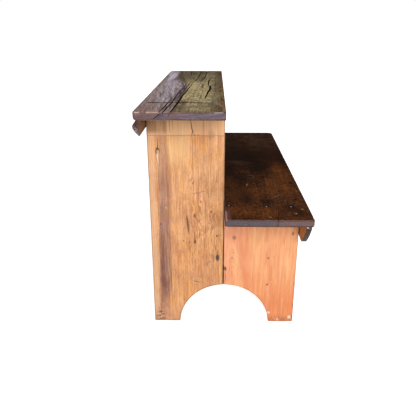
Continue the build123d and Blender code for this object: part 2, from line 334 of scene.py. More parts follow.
# ------------------------------------------------------------------ node wiring
class Wiring:
    """Short calls that add nodes to one tree and join them. A socket is joined, a number is set."""

    def __init__(self, tree):
        self.tree = tree
        self.count = 0

    def feed(self, value, socket):
        if isinstance(value, bpy.types.NodeSocket):
            self.tree.links.new(value, socket)
        else:
            socket.default_value = value

    def node(self, kind, values=None, **settings):
        made = self.tree.nodes.new(kind)
        made.location = (220 * (self.count // 8), -220 * (self.count % 8))
        self.count += 1
        for key, value in settings.items():
            setattr(made, key, value)
        for key, value in (values or {}).items():
            self.feed(value, made.inputs[key])
        return made

    def math(self, operation, *values, clamp=False):
        made = self.node("ShaderNodeMath", dict(enumerate(values)), operation=operation, use_clamp=clamp)
        return made.outputs[0]

    def times(self, first, *others):
        for other in others:
            first = self.math("MULTIPLY", first, other)
        return first

    def plus(self, first, *others):
        for other in others:
            first = self.math("ADD", first, other)
        return first

    def minus(self, first, second):
        return self.math("SUBTRACT", first, second)

    def most(self, first, second):
        return self.math("MAXIMUM", first, second)

    def away(self, value, place):
        """Distance of a value from a place."""
        return self.math("ABSOLUTE", self.minus(value, place))

    def swing(self, noise, reach):
        """A noise about 0.5 as a push of half the reach either way."""
        return self.times(self.minus(noise, 0.5), reach)

    def vector(self, operation, *values):
        made = self.node("ShaderNodeVectorMath", dict(enumerate(values)), operation=operation)
        return made.outputs["Value" if operation in ("DOT_PRODUCT", "LENGTH", "DISTANCE") else "Vector"]

    def stretched(self, vector, factors):
        return self.vector("MULTIPLY", vector, factors)

    def scaled(self, vector, factor):
        return self.node("ShaderNodeVectorMath", {0: vector, "Scale": factor}, operation="SCALE").outputs[0]

    def joined(self, x, y, z=0.0):
        return self.node("ShaderNodeCombineXYZ", {0: x, 1: y, 2: z}).outputs[0]

    def parted(self, vector):
        return self.node("ShaderNodeSeparateXYZ", {0: vector}).outputs

    def mix(self, factor, first, second, blend="MIX"):
        """Blends two colours. One of three numbers is a screen colour from 0 to 255."""
        made = self.node("ShaderNodeMix", {0: factor}, data_type="RGBA", blend_type=blend)
        for key, value in ((6, first), (7, second)):
            self.feed(tone(*value) if isinstance(value, tuple) and len(value) == 3 else value,
                      made.inputs[key])
        return made.outputs[2]

    def ease(self, value, low, high, to_low=0.0, to_high=1.0):
        """Smoothstep of a value between low and high."""
        made = self.node("ShaderNodeMapRange", {0: value, 1: low, 2: high, 3: to_low, 4: to_high},
                         interpolation_type="SMOOTHSTEP", clamp=False)
        return made.outputs[0]

    def between(self, value, start, full, fade, end):
        """Rises from start to full and falls from fade to end. The pairs may also run the other way."""
        return self.times(self.ease(value, start, full), self.ease(value, fade, end))

    def near(self, value, place, far, close):
        """Rises towards a place, from far off it to close to it."""
        return self.ease(self.away(value, place), far, close)

    def ramp(self, value, stops):
        made = self.node("ShaderNodeValToRGB", {0: value})
        cells = made.color_ramp.elements
        while len(cells) > 1:
            cells.remove(cells[-1])
        cells[0].position, cells[0].color = stops[0]
        for place, colour in stops[1:]:
            cells.new(place).color = colour
        return made.outputs[0]

    def course(self, value, low, high, points, bottom=0.0, top=1.0):
        """A curve through points, as a ramp of greys. Places are in low to high, heights in bottom to top."""
        share = self.node("ShaderNodeMapRange", {0: value, 1: low, 2: high}, clamp=False).outputs[0]
        stops = []
        for place, height in points:
            grey = (height - bottom) / (top - bottom)
            stops.append(((place - low) / (high - low), (grey, grey, grey, 1.0)))
        grey = self.node("ShaderNodeSeparateColor", {0: self.ramp(share, stops)}).outputs[0]
        return self.node("ShaderNodeMapRange", {0: grey, 3: bottom, 4: top}, clamp=False).outputs[0]

    def noise(self, vector, scale, detail=3.0, roughness=0.55, distortion=0.0):
        return self.node("ShaderNodeTexNoise",
                         {"Vector": vector, "Scale": scale, "Detail": detail, "Roughness": roughness,
                          "Distortion": distortion}).outputs[0]

    def placed(self, tree, **values):
        """One node group, placed with its own values. Underscores stand for the spaces in socket names."""
        made = self.node("ShaderNodeGroup", node_tree=tree)
        for key, value in values.items():
            self.feed(value, made.inputs[key.replace("_", " ")])
        return made.outputs


def blank(thing):
    """Empties the node tree of a material or a world, and returns its wiring."""
    thing.use_nodes = True
    thing.node_tree.nodes.clear()
    return Wiring(thing.node_tree)


def surface(name):
    """A new material with a Principled shader: the material, its wiring and the shader."""
    material = bpy.data.materials.new(name)
    w = blank(material)
    shader = w.node("ShaderNodeBsdfPrincipled")
    w.node("ShaderNodeOutputMaterial", {0: shader.outputs[0]})
    return material, w, shader


def effect(name, inputs, outputs):
    """An empty shader node group with named sockets. Returns its wiring, its inputs and its output node."""
    tree = bpy.data.node_groups.new(name, "ShaderNodeTree")
    for label, kind, value in inputs:
        socket = tree.interface.new_socket(label, in_out="INPUT", socket_type="NodeSocket" + kind)
        if value is not None:
            socket.default_value = value
    for label, kind in outputs:
        tree.interface.new_socket(label, in_out="OUTPUT", socket_type="NodeSocket" + kind)
    w = Wiring(tree)
    start = w.node("NodeGroupInput").outputs
    return w, start, w.node("NodeGroupOutput")


def pine_figure():
    """Growth rings and fibres of a pine board. The vector is millimetres with its Z along the grain.

    A ring's number is the distance from the tree's heart, which leans and wanders along the
    board, over the ring width. Late wood is the dark last part of each ring. Threads are
    thin dark lines that run a long way, and a streak is a broad change of shade.
    """
    w, given, out = effect("pine figure", [
        ("Vector", "Vector", None), ("Heart", "Vector", (60.0, 0.0, 0.0)),
        ("Lean", "Vector", (0.0, 0.0, 0.0)), ("Ring Width", "Float", 6.0), ("Wander", "Float", 6.0),
        ("Seed", "Float", 0.0)],
        [("Late Wood", "Float"), ("Fibre", "Float"), ("Streak", "Float"), ("Threads", "Float")])
    at = given["Vector"]
    z = w.parted(at)[2]
    moved = w.vector("ADD", at, w.joined(given["Seed"], given["Seed"]))
    long = w.stretched(moved, (1.0, 1.0, 0.13))
    heart = w.vector("ADD", given["Heart"], w.scaled(given["Lean"], z))
    off = w.stretched(w.vector("SUBTRACT", at, heart), (1.0, 1.0, 0.0))
    far = w.vector("LENGTH", off)
    sway = w.minus(w.noise(long, 0.016, 2.0), 0.5)
    shake = w.minus(w.noise(long, 0.07, 3.0), 0.5)
    far = w.plus(far, w.times(sway, w.times(given["Wander"], 5.0)))
    far = w.plus(far, w.times(shake, w.times(given["Wander"], 0.7)))
    age = w.math("DIVIDE", far, given["Ring Width"])
    uneven = w.noise(w.joined(age, given["Seed"]), 0.45, 1.0)
    age = w.plus(age, w.times(uneven, 2.4))
    ring = w.math("FRACT", age)
    rise, drop = w.ease(ring, 0.4, 0.9), w.ease(ring, 0.92, 1.0, 1.0, 0.0)
    strength = w.noise(w.joined(w.math("FLOOR", age), 3.3), 0.83, 0.0)
    late = w.times(rise, drop, w.ease(strength, 0.25, 0.7, 0.25, 1.0))
    fibre = w.noise(w.stretched(moved, (1.0, 1.0, 0.028)), 0.5, 5.0, 0.72)
    streak = w.noise(w.stretched(moved, (1.0, 1.0, 0.045)), 0.16, 4.0, 0.6)
    thread = w.ease(w.noise(w.stretched(moved, (1.0, 1.0, 0.007)), 0.45, 3.0, 0.7), 0.56, 0.68)
    broken = w.ease(w.noise(w.stretched(moved, (1.0, 1.0, 0.1)), 0.09, 2.0), 0.35, 0.6)
    for label, socket in (("Late Wood", late), ("Fibre", fibre), ("Streak", streak),
                          ("Threads", w.times(thread, broken))):
        w.tree.links.new(socket, out.inputs[label])
    return w.tree


def round_mark():
    """A soft-edged oval: smoothstep of the distance to its centre, counted in its own two radii."""
    w, given, out = effect("round mark", [
        ("Vector", "Vector", None), ("Centre", "Vector", None), ("Radii", "Vector", (5.0, 5.0, 5.0)),
        ("Softness", "Float", 0.4)], [("Mask", "Float")])
    off = w.vector("DIVIDE", w.vector("SUBTRACT", given["Vector"], given["Centre"]), given["Radii"])
    far = w.vector("LENGTH", off)
    low = w.minus(1.0, given["Softness"])
    high = w.plus(1.0, given["Softness"])
    w.tree.links.new(w.ease(far, low, high, 1.0, 0.0), out.inputs["Mask"])
    return w.tree


def stroke_mark():
    """A line from Start to End: smoothstep of the distance to the nearest point of the segment."""
    w, given, out = effect("stroke mark", [
        ("Vector", "Vector", None), ("Start", "Vector", None), ("End", "Vector", None),
        ("Half Width", "Float", 1.0), ("End Width", "Float", 1.0)], [("Mask", "Float")])
    run = w.vector("SUBTRACT", given["End"], given["Start"])
    off = w.vector("SUBTRACT", given["Vector"], given["Start"])
    share = w.math("DIVIDE", w.vector("DOT_PRODUCT", off, run), w.vector("DOT_PRODUCT", run, run))
    share = w.math("MINIMUM", w.most(share, 0.0), 1.0)
    far = w.vector("LENGTH", w.vector("SUBTRACT", off, w.scaled(run, share)))
    wide = w.plus(w.times(given["Half Width"], w.minus(1.0, share)), w.times(given["End Width"], share))
    near = w.times(wide, 0.35)
    w.tree.links.new(w.ease(far, near, w.times(wide, 1.25), 1.0, 0.0), out.inputs["Mask"])
    return w.tree


def edge_wear():
    """Rubbed arrises: 1 where the distance to the arris is less than Reach, made ragged by noise."""
    w, given, out = effect("edge wear", [
        ("Vector", "Vector", None), ("Distance", "Float", FAR), ("Reach", "Float", 2.0),
        ("Ragged", "Float", 1.0)], [("Worn", "Float")])
    coarse = w.noise(given["Vector"], 0.045, 3.0, 0.6)
    fine = w.noise(given["Vector"], 0.5, 3.0, 0.6)
    push = w.plus(w.swing(coarse, 5.0), w.swing(fine, 2.2))
    limit = w.plus(given["Reach"], w.times(push, given["Ragged"]))
    far = w.minus(given["Distance"], limit)
    w.tree.links.new(w.ease(far, -0.9, 0.7, 1.0, 0.0), out.inputs["Worn"])
    return w.tree


def grime():
    """Old dirt: a broad mottle, finer blotches stretched along the grain, and small dark specks."""
    w, given, out = effect("grime", [
        ("Vector", "Vector", None), ("Blotch Size", "Float", 40.0), ("Speck Size", "Float", 5.0),
        ("Speck Share", "Float", 0.3)], [("Mottle", "Float"), ("Blotch", "Float"), ("Specks", "Float")])
    share = w.math("DIVIDE", 1.0, given["Blotch Size"])
    mottle = w.noise(given["Vector"], share, 4.0, 0.6)
    stretched = w.stretched(given["Vector"], (1.0, 1.0, 0.4))
    blotch = w.noise(stretched, w.times(share, 4.0), 4.0, 0.62)
    cells = w.node("ShaderNodeTexVoronoi", {"Vector": given["Vector"],
                                            "Scale": w.math("DIVIDE", 1.0, given["Speck Size"])})
    lot = w.node("ShaderNodeSeparateColor", {0: cells.outputs["Color"]}).outputs[0]
    limit = w.times(w.math("LESS_THAN", lot, given["Speck Share"]), w.plus(lot, 0.08))
    specks = w.ease(w.minus(cells.outputs["Distance"], w.times(limit, 0.8)), -0.1, 0.06, 1.0, 0.0)
    for label, socket in (("Mottle", mottle), ("Blotch", blotch), ("Specks", specks)):
        w.tree.links.new(socket, out.inputs[label])
    return w.tree


EFFECTS = {}


def effects():
    """The shared node groups, built once."""
    if not EFFECTS:
        for key, build in (("figure", pine_figure), ("round", round_mark), ("stroke", stroke_mark),
                           ("wear", edge_wear), ("grime", grime)):
            EFFECTS[key] = build()
    return EFFECTS


class Wood:
    """A wood material while it is put together: its wiring, its coordinates and its colour so far."""

    def __init__(self, name, axes, heart, lean, ring_width, wander, seed):
        self.material, self.w, self.shader = surface(name)
        w = self.w
        coordinates = w.node("ShaderNodeTexCoord").outputs
        self.at = w.scaled(coordinates["Object"], 1000.0)
        parts, facing = w.parted(self.at), w.parted(coordinates["Normal"])
        self.through, self.across, self.along = (parts["XYZ".index(k)] for k in axes)
        self.grain = w.joined(self.through, self.across, self.along)
        self.end = w.ease(w.math("ABSOLUTE", facing["XYZ".index(axes[2])]), 0.45, 0.68)
        self.slope = w.ease(w.math("ABSOLUTE", facing["XYZ".index(axes[0])]), 0.93, 0.6)
        figure = w.placed(effects()["figure"], Vector=self.grain, Heart=heart, Lean=lean,
                          Ring_Width=ring_width, Wander=wander, Seed=seed)
        self.late, self.fibre, self.streak, self.threads = (figure[k] for k in range(4))
        self.edge, self.wall, self.groove = (w.node("ShaderNodeAttribute", attribute_name=k).outputs["Fac"]
                                             for k in ("edge", "wall", "groove"))
        self.in_plane = tuple(float(k != axes[0]) for k in "XYZ")
        self.flat = w.stretched(self.at, self.in_plane)
        self.axes = axes
        self.tools = w, self.across, self.along, self.tint, self.wash
        self.colour = self.height = None

    def cloud(self, factors, *noise):
        """Noise over the grain's coordinates, each first multiplied by its factor."""
        return self.w.noise(self.w.stretched(self.grain, factors), *noise)

    def dirt(self, blotch, speck, share):
        return self.w.placed(effects()["grime"], Vector=self.grain, Blotch_Size=blotch, Speck_Size=speck,
                             Speck_Share=share)

    def rubbed(self, reach, ragged):
        return self.w.placed(effects()["wear"], Vector=self.grain, Distance=self.edge, Reach=reach,
                             Ragged=ragged)[0]

    def spot(self, across, along):
        """A place on the broad face, given across and along the grain, as a point of flat."""
        point = {self.axes[0]: 0.0, self.axes[1]: float(across), self.axes[2]: float(along)}
        return (point["X"], point["Y"], point["Z"])

    def tint(self, mask, colour, strength=1.0, blend="MIX"):
        """Lays a colour over what is there, by a mask or by the product of several."""
        w = self.w
        if isinstance(mask, tuple):
            mask = w.times(*mask)
        factor = mask if strength == 1.0 else w.times(mask, strength)
        self.colour = w.mix(factor, self.colour, colour, blend)

    def wash(self, value, low, high, colour, strength):
        """Lays a colour where a value runs from low to high."""
        self.tint(self.w.ease(value, low, high), colour, strength)

    def side(self, blotch, light, dark, end):
        """Colours the narrow sides, light and dark by the blotches, and the end grain."""
        self.tint(self.wall, self.w.mix(self.w.ease(blotch, 0.35, 0.65), light, dark))
        self.tint((self.end, self.wall), end, 0.7)

    def lift(self, part):
        self.height = part if self.height is None else self.w.plus(self.height, part)

    def dig(self, *reliefs):
        """Adds masks, each with its amount in millimetres, to the bump height."""
        for mask, amount in reliefs:
            self.lift(self.w.times(mask, amount))

    def warped(self, size, amount):
        """Flat coordinates pushed about by noise, so that marks are ragged."""
        w = self.w
        cloud = w.node("ShaderNodeTexNoise", {"Vector": self.flat, "Scale": 1.0 / size, "Detail": 3.0})
        push = w.scaled(w.vector("SUBTRACT", cloud.outputs["Color"], (0.5, 0.5, 0.5)), amount)
        return w.vector("ADD", self.flat, w.stretched(push, self.in_plane))

    def oval(self, vector, centre, radii, softness):
        return self.w.placed(effects()["round"], Vector=vector, Centre=centre, Radii=radii,
                             Softness=softness)[0]

    def lay(self, masks):
        """Lays many marks at once. Their colours, cover and depth are gathered in one short chain first."""
        w = self.w
        shade = cover = dug = None
        for mask, colour, strength, *depth in masks:
            part = w.times(mask, strength)
            if cover is None:
                shade, cover = colour, part
            else:
                shade = w.mix(w.times(mask, 3.0), shade, colour)
                cover = w.most(cover, part)
            if depth:
                part = w.times(mask, depth[0])
                dug = part if dug is None else w.plus(dug, part)
        self.colour = w.mix(cover, self.colour, shade)
        if dug is not None:
            self.lift(dug)
        return cover

    def ovals(self, ragged, marks):
        """Round marks: (across, along, radius across, radius along, softness, colour, strength, depth).

        A mark without a depth leaves the relief as it is.
        """
        def masks():
            for across, along, wide, long, soft, *rest in marks:
                radii = tuple(v if v else 1.0 for v in self.spot(wide, long))
                yield self.oval(ragged, self.spot(across, along), radii, soft), *rest
        return self.lay(masks())

    def lines(self, ragged, marks, shown=None):
        """Lines: (points as (across, along, half width), colour, strength, depth)."""
        places = [([(self.spot(q, g), h) for q, g, h in points], *rest) for points, *rest in marks]
        return self.lay(self.strokes(ragged, places, shown))

    def strokes(self, vector, marks, shown=None):
        """The masks of lines through points in space, each with its half width."""
        w = self.w
        for points, *rest in marks:
            whole = None
            for (start, h0), (end, h1) in zip(points[:-1], points[1:]):
                mask = w.placed(effects()["stroke"], Vector=vector, Start=start, End=end, Half_Width=h0,
                                End_Width=h1)[0]
                whole = mask if whole is None else w.most(whole, mask)
            yield whole if shown is None else w.times(whole, shown), *rest

    def end_lines(self, side, marks):
        """Lines on one end's grain, within 10 mm of a shelf's end: points as (y, z, half width)."""
        w = self.w
        shown = w.math("GREATER_THAN", w.times(self.along, -1.0 if side == "left" else 1.0), 570.0)
        shown = w.times(shown, self.wall)
        here = w.stretched(self.at, (0.0, 1.0, 1.0))
        places = [([((0.0, y, z), h) for y, z, h in points], *rest) for points, *rest in marks]
        return self.lay(self.strokes(here, places, shown))

    def finish(self, rough, bump, specular, coat=0.0, coat_roughness=0.3):
        relief = self.w.node("ShaderNodeBump", {"Strength": bump, "Distance": MM, "Height": self.height})
        for key, value in (("Base Color", self.colour), ("Specular IOR Level", specular),
                           ("Roughness", rough), ("Coat Weight", coat),
                           ("Coat Roughness", coat_roughness), ("Normal", relief.outputs[0])):
            self.w.feed(value, self.shader.inputs[key])
        return self.material


# ------------------------------------------------------------------ what a user would change
def a_colour(name, description, *screen):
    """A colour property, its default given from 0 to 255."""
    return bpy.props.FloatVectorProperty(name=name, description=description, subtype="COLOR", size=3,
                                         min=0.0, max=1.0, default=linear(*screen))


def a_length(name, description, low, high, default):
    """A length property, in metres."""
    return bpy.props.FloatProperty(
        name=name, description=description, unit="LENGTH", min=low, max=high, default=default)


class BenchFinish(bpy.types.PropertyGroup):
    """Colours, wear and a painted sheen of the bench."""

    honey: a_colour("Honey Pine", "Main colour of the tall end boards", 236, 174, 124)
    pink: a_colour("Pink Pine", "Main colour of the short end boards", 249, 168, 122)
    rear_stain: a_colour("Shelf Stain, Rear", "Stain on the rear half of the upper shelf", 96, 72, 68)
    # painted sheen: a pale lavender that stands in for the reflection on the rear of the upper shelf
    painted_sheen: a_colour("Painted Sheen", "Painted sheen on the waxed rear part of the upper shelf", 142, 128, 138)
    olive_stain: a_colour("Shelf Stain, Front", "Stain on the front half of the upper shelf", 116, 98, 62)
    low_stain: a_colour("Low Shelf Stain", "Stain on the lower shelf", 62, 36, 22)
    rail_stain: a_colour("Rail Stain", "Stain on both rails", 104, 66, 45)
    wear: bpy.props.FloatProperty(
        name="Arris Wear", description="How far the rubbing spreads from the arrises", subtype="FACTOR",
        min=0.0, max=2.0, default=1.0)


class BenchSizes(bpy.types.PropertyGroup):
    """Shapes of the boards that the frame leaves open."""

    arris: a_length("Arris Radius", "Rounding of a board's long edges", 0.0005, 0.004, 0.0014)
    grid: a_length("Grid Step", "Distance between the rows of a board's mesh", 0.0015, 0.02, 0.0028)
    plane_depth: a_length("Plane Marks", "Depth of the hand plane's waves", 0.0, 0.001, 0.00016)
    arch_top: a_length("Arch Height", "Top of the foot arch over the floor", 0.05, 0.2, 0.145)
    rear_foot: a_length("Rear Foot", "Width of the tall board's foot", 0.04, 0.15, 0.088)
    front_foot: a_length("Front Foot", "Width of the short board's foot", 0.04, 0.15, 0.084)


def finish_of(context):
    return context.scene.bench_finish


def sizes_of(context):
    return context.scene.bench_sizes


def paint(colour, factor=1.0):
    """A colour property as a shader colour, lightened or darkened by a factor."""
    return (*(min(1.0, c * factor) for c in colour), 1.0)


# ------------------------------------------------------------------ shelves
UPPER_CRACKS = [  # points as (along, across, half width)
    [(-345, 66, 0), (-330, 65, 1.6), (-250, 61, 2.6), (-180, 57, 3.3), (-120, 52.5, 3.9), (-60, 51, 3.7),
     (-10, 51.5, 2.6), (15, 50, 0), (60, 46, 0), (300, 37, 0)],
    [(-35, 56, 0), (-10, 58, 1.4), (60, 60.5, 2), (130, 60.5, 2.7), (190, 58, 2.6), (240, 53, 1.7),
     (290, 48, 0)],
    [(110, 93, 0), (160, 89, 1.2), (220, 84, 2), (300, 79.5, 2.4), (400, 76.5, 2.2), (500, 75.5, 1.8),
     (580, 73, 1.2)],
    [(120, 118, 0), (150, 115, 1.6), (200, 111, 1.9), (260, 107, 1.7), (320, 105, 1.7), (450, 104, 1.5),
     (580, 101, 1.2)],
    [(-580, 150, 1.4), (-520, 148, 2), (-420, 143, 2.6), (-340, 141, 2.9), (-250, 138, 2.3),
     (-180, 134, 2.3), (-110, 130, 2.2), (-60, 127, 1.7), (0, 124, 1.1), (40, 123, 0)],
    [(-150, 141, 0), (-100, 139.5, 1.2), (-20, 136, 1.4), (60, 134, 1.3), (120, 131, 0), (380, 131, 0)],
    [(370, 141, 0), (400, 143.5, 1.2), (460, 145.5, 1.4), (520, 147, 0.9), (560, 148, 0)],
    [(-580, 171, 1.8), (-540, 168.5, 2.4), (-480, 165, 2.4), (-420, 161, 2.1), (-300, 160, 1.6),
     (-200, 157, 1.8), (-130, 153, 1.8), (-60, 149, 1.3), (20, 146, 1), (80, 145, 0), (300, 158, 0)],
    [(-580, 181, 1.3), (-500, 176, 1.7), (-430, 172, 1.5), (-380, 170, 1), (-300, 168, 0.8), (-240, 167, 0)],
]
CROSS_LINE = -418.0  # where a line is scored across the upper shelf
# Clouds on the lower shelf: (across, along, radius across, radius along).
RUBBED_THROUGH = [
    (-24, -375, 24, 60), (-95, -341, 24, 46), (-213, -140, 26, 120), (-211, -300, 20, 60),
    (-172, -234, 22, 60), (-24, -249, 16, 60), (-65, -525, 26, 40), (-121, -519, 26, 36),
    (-26, -500, 18, 34), (-160, -330, 20, 50),
]
DARK_CLOUDS = [
    (-74, -400, 20, 44), (-130, -41, 36, 130), (-22, -90, 24, 80), (-196, -480, 20, 30),
    (-216, -520, 20, 30), (-130, -430, 16, 26), (-100, 60, 50, 120), (-60, -190, 36, 60),
    (-60, -570, 24, 20),
]


def shelf_rim(a, b, low, high):
    """Distance from a point to the shelf's outline."""
    return np.minimum(np.minimum(a - low[0], high[0] - a), np.minimum(b - low[1], high[1] - b))


def add_rims(fields, info, rim):
    """Sets the distance to the arris on both broad faces from the distance to the outline."""
    fa, fb, ba, bb, size = info
    fields["edge"][:size] = np.clip(rim(fa, fb) - 0.6, 0.0, FAR).reshape(-1)
    fields["edge"][size:2 * size] = np.clip(rim(ba, bb) - 0.6, 0.0, FAR).reshape(-1)


def shelf_material_upper(finish):
    """Worn dark stain: brown and waxed behind the long crack under a painted lavender sheen, dry and olive in
    front of it.
    """
    wood = Wood("upper shelf stain", "ZYX", (712, 118, 0), (0, -0.02, 0), 6, 3, 11)
    w, across, along, tint, wash = wood.tools
    ragged = wood.warped(14, 5)
    mottle, blotch, specks = wood.dirt(55, 6, 0.22)
    split = w.course(along, -600, 600, [(-580, 152), (-380, 142), (-180, 134), (-20, 136), (120, 155),
                                        (270, 176), (420, 187), (520, 195), (580, 200)], 100, 220)
    wander = w.swing(w.noise(wood.grain, 0.05, 3), 16)
    beyond = w.minus(w.plus(across, wander), split)
    soft = w.ease(along, 0, 260, 7, 26)
    behind = w.ease(w.math("DIVIDE", beyond, soft), -1, 1.2)
    slant = w.minus(across, w.times(along, 0.1))
    slant = w.joined(wood.through, slant, w.times(along, 0.07))
    sheen = w.noise(slant, 0.1, 6, 0.74)
    shadow = w.noise(w.vector("ADD", slant, (40, 300, 7)), 0.24, 4, 0.66)
    hairs = wood.cloud((1, 1, 0.035), 0.7, 3, 0.7)
    hatch = wood.cloud((1, 0.5, 0.15), 0.26, 5, 0.76)

    # painted sheen: where the sheen noise is high the rear stain turns to the pale sheen colour, and near the
    # left-hand end to pale hazy streaks
    light = w.ease(w.plus(sheen, w.times(w.ease(beyond, 0, 60), 0.07)), 0.44, 0.66)
    rear = w.mix(light, paint(finish.rear_stain, 0.7), paint(finish.painted_sheen, 1.12))
    near_end = w.times(w.ease(along, -340, -500), 0.8)
    painted_haze = w.mix(w.ease(w.plus(sheen, hatch), 0.8, 1.24), (96, 72, 66), (150, 128, 128))
    rear = w.mix(near_end, rear, painted_haze)
    reddish = w.times(w.ease(along, -330, -520), w.ease(w.plus(across, w.swing(shadow, 60)), 176, 226))
    rear = w.mix(w.times(reddish, 0.6), rear, (108, 70, 58))
    edging = w.ease(w.plus(across, w.times(hatch, 8)), 249, 253.5)
    rear = w.mix(w.times(edging, w.ease(along, -160, -420)), rear, (66, 40, 33))
    rim_dark = w.ease(w.plus(across, w.swing(shadow, 46)), 212, 238)
    rim_dark = w.times(rim_dark, w.ease(along, 480, 200))
    rear = w.mix(w.times(rim_dark, 0.75), rear, w.mix(w.ease(hatch, 0.42, 0.6), (84, 58, 50), (132, 106, 98)))
    rear = w.mix(w.times(w.ease(shadow, 0.5, 0.34), 0.7), rear, (58, 39, 37))

    power = w.course(along, -600, 600, [(-580, 0.35), (-430, 0.5), (-340, 0.85), (-120, 1), (40, 0.85),
                                        (160, 0.45), (320, 0.22), (580, 0.16)])
    bed = w.times(w.ease(across, 30, 66), w.plus(w.times(power, 0.8), 0.1))
    lit = w.ease(w.plus(mottle, w.swing(bed, 0.35)), 0.36, 0.66)
    olive = w.mix(lit, paint(finish.olive_stain, 0.55), paint(finish.olive_stain, 1.5))
    olive = w.mix(w.times(w.ease(hatch, 0.5, 0.6), w.math("ADD", w.times(bed, 0.85), 0.15, clamp=True)),
                  olive, (192, 176, 128))
    olive = w.mix(w.times(w.ease(hatch, 0.46, 0.36), 0.85), olive, (48, 35, 20))
    olive = w.mix(w.times(w.ease(shadow, 0.46, 0.32), 0.6), olive, (54, 40, 24))
    # a pale grey added over the whole top is a painted haze of reflection
    wood.colour = w.mix(1, w.mix(behind, olive, rear), (0.05, 0.046, 0.042, 1), "ADD")
    tint(w.most(wood.wall, wood.slope), (78, 56, 50), 0.8)

    tint(wood.late, (48, 32, 24), 0.4)
    wash(hairs, 0.58, 0.7, (34, 24, 18), 0.62)
    wash(hairs, 0.42, 0.32, (164, 148, 132), 0.25)
    tint(wood.threads, (26, 18, 14), 0.7)
    margin = w.ease(w.plus(across, w.swing(hatch, 60)), 40, 14)
    streaky = w.mix(w.ease(shadow, 0.4, 0.56), (108, 76, 48), (54, 34, 20))
    tint(margin, streaky, 0.76)
    tint((w.ease(w.math("ABSOLUTE", beyond), 16, 3), w.ease(along, -20, 160)), (58, 44, 34), 0.6)
    tint((w.ease(w.math("ABSOLUTE", beyond), 5, 1), w.ease(along, 100, 220)), (90, 54, 46), 0.4)
    # painted shade beside the long crack: darker brown bands on both sides of it towards the left-hand end
    tint((w.near(beyond, 11, 17, 6), w.between(along, 60, -120, -470, -300)), (50, 34, 31), 0.6)
    before = w.times(w.ease(w.math("ABSOLUTE", w.plus(beyond, 14)), 22, 8), w.ease(along, -300, -420))
    tint((before, w.ease(hatch, 0.7, 0.5)), (70, 50, 42), 0.72)
    farther = w.plus(along, w.swing(hatch, 260))
    tint((w.ease(farther, 60, 260), w.ease(across, 50, 96)), (62, 54, 36), 0.45)
    tint((w.ease(along, 300, 520), w.ease(across, 200, 130)), (52, 44, 24), 0.5)
    tint((w.ease(blotch, 0.5, 0.64), w.ease(across, 150, 120)), (150, 156, 110), 0.24)
    # the first three ovals, pale lavender, are painted sheen
    wood.ovals(ragged, [
        (219, 320, 15, 200, 0.7, (196, 184, 202), 0.62),
        (240, 480, 9, 110, 0.7, (188, 170, 180), 0.5),
        (200, 20, 20, 150, 0.8, (160, 148, 160), 0.4),
        (81, -10, 5, 80, 0.6, (52, 40, 24), 0.7),
        (128, 60, 5, 60, 0.6, (140, 104, 80), 0.4),
        (112, -20, 12, 90, 0.7, (190, 172, 124), 0.35),
        (45, -545, 10, 18, 0.5, (176, 158, 104), 0.5),
        (74, -545, 12, 14, 0.6, (150, 134, 84), 0.35),
        (60, -470, 26, 60, 0.8, (82, 68, 40), 0.35),
        (28, -520, 14, 50, 0.7, (70, 40, 22), 0.6),
    ])
    drawn = wood.lines(wood.warped(12, 3), [
        ([(185, -430, 1), (182, -320, 1.2), (178, -210, 1), (170, -140, 0.5)], (40, 28, 26), 0.75, -0.4),
        ([(160, -560, 1.2), (156, -480, 1.6), (152, -430, 0.8)], (36, 24, 22), 0.7, -0.4),
        ([(150, -330, 0.8), (147, -250, 1.5), (143, -170, 0.8)], (30, 20, 18), 0.7, -0.4),
        ([(124, 20, 0.7), (122, 90, 1.2), (121, 160, 0.8)], (40, 28, 18), 0.7, -0.3),
        ([(96, 250, 0.8), (94, 380, 1.3), (92, 540, 0.8)], (48, 36, 24), 0.6, -0.3),
        ([(36, -120, 0.8), (33, 60, 1.4), (38, 240, 0.8)], (56, 38, 22), 0.6, -0.2),
        ([(122, 180, 1), (126, 320, 1.6), (122, 500, 1)], (44, 34, 22), 0.6, -0.2),
        ([(60, 320, 1), (58, 440, 1.6), (60, 570, 1)], (50, 38, 24), 0.55, -0.2),
    ])
    rim_band = w.near(along, -568, 14, 3)
    tint((rim_band, w.ease(hatch, 0.4, 0.6)),
         w.mix(w.ease(across, 90, 150), (78, 54, 44), (152, 118, 106)), 0.6)
    cross = w.away(w.plus(along, w.times(wander, 0.2)), CROSS_LINE)
    reach = w.between(across, 52, 84, 238, 226)
    cross = w.times(w.ease(cross, 8.5, 4.2), w.times(reach, w.minus(1, wood.wall)))
    tint(cross, (20, 12, 10), 0.98)
    tint(specks, (44, 30, 24), 0.4)
    # near-black painted shade in the depths of the cracks, over their shallow real grooves
    wash(wood.groove, 0.04, 0.4, (12, 8, 7), 0.98)
    rubbed = wood.rubbed(finish.wear, 0.55)
    tint(rubbed, w.mix(w.ease(across, 90, 150), (104, 72, 58), (176, 134, 118)), 0.6)
    # painted highlights along the top arris at the left-hand end
    wood.lines(wood.warped(9, 1.6), [
        ([(248, -579.5, 0.5), (240, -578.8, 1.6), (231, -579, 0.8)], (246, 206, 188), 0.6),
        ([(216, -579.5, 0.4), (204, -578.9, 1.3), (192, -578.7, 1.6), (180, -579.5, 0.6)],
         (240, 200, 182), 0.6),
        ([(34, -579.5, 0.3), (22, -579, 1.3), (12, -579.2, 0.8)], (206, 190, 192), 0.5),
    ], w.ease(wood.through, 744, 746.5))
    pores = wood.cloud((0.5, 1.6, 1), 0.55, 4, 0.7)
    bands = wood.cloud((1, 0.12, 1), 0.22, 4, 0.6)
    end_tone = w.mix(w.ease(across, 60, 200), (112, 98, 106), (118, 94, 92))
    end_tone = w.mix(w.times(w.ease(bands, 0.45, 0.62), 0.4), end_tone, (148, 138, 156))
    end_tone = w.mix(w.times(w.ease(pores, 0.44, 0.64), 0.8), end_tone, (66, 50, 50))
    flat_end = w.times(wood.end, wood.wall)
    tint(flat_end, end_tone)
    tint((flat_end, rubbed), (150, 116, 100), 0.6)
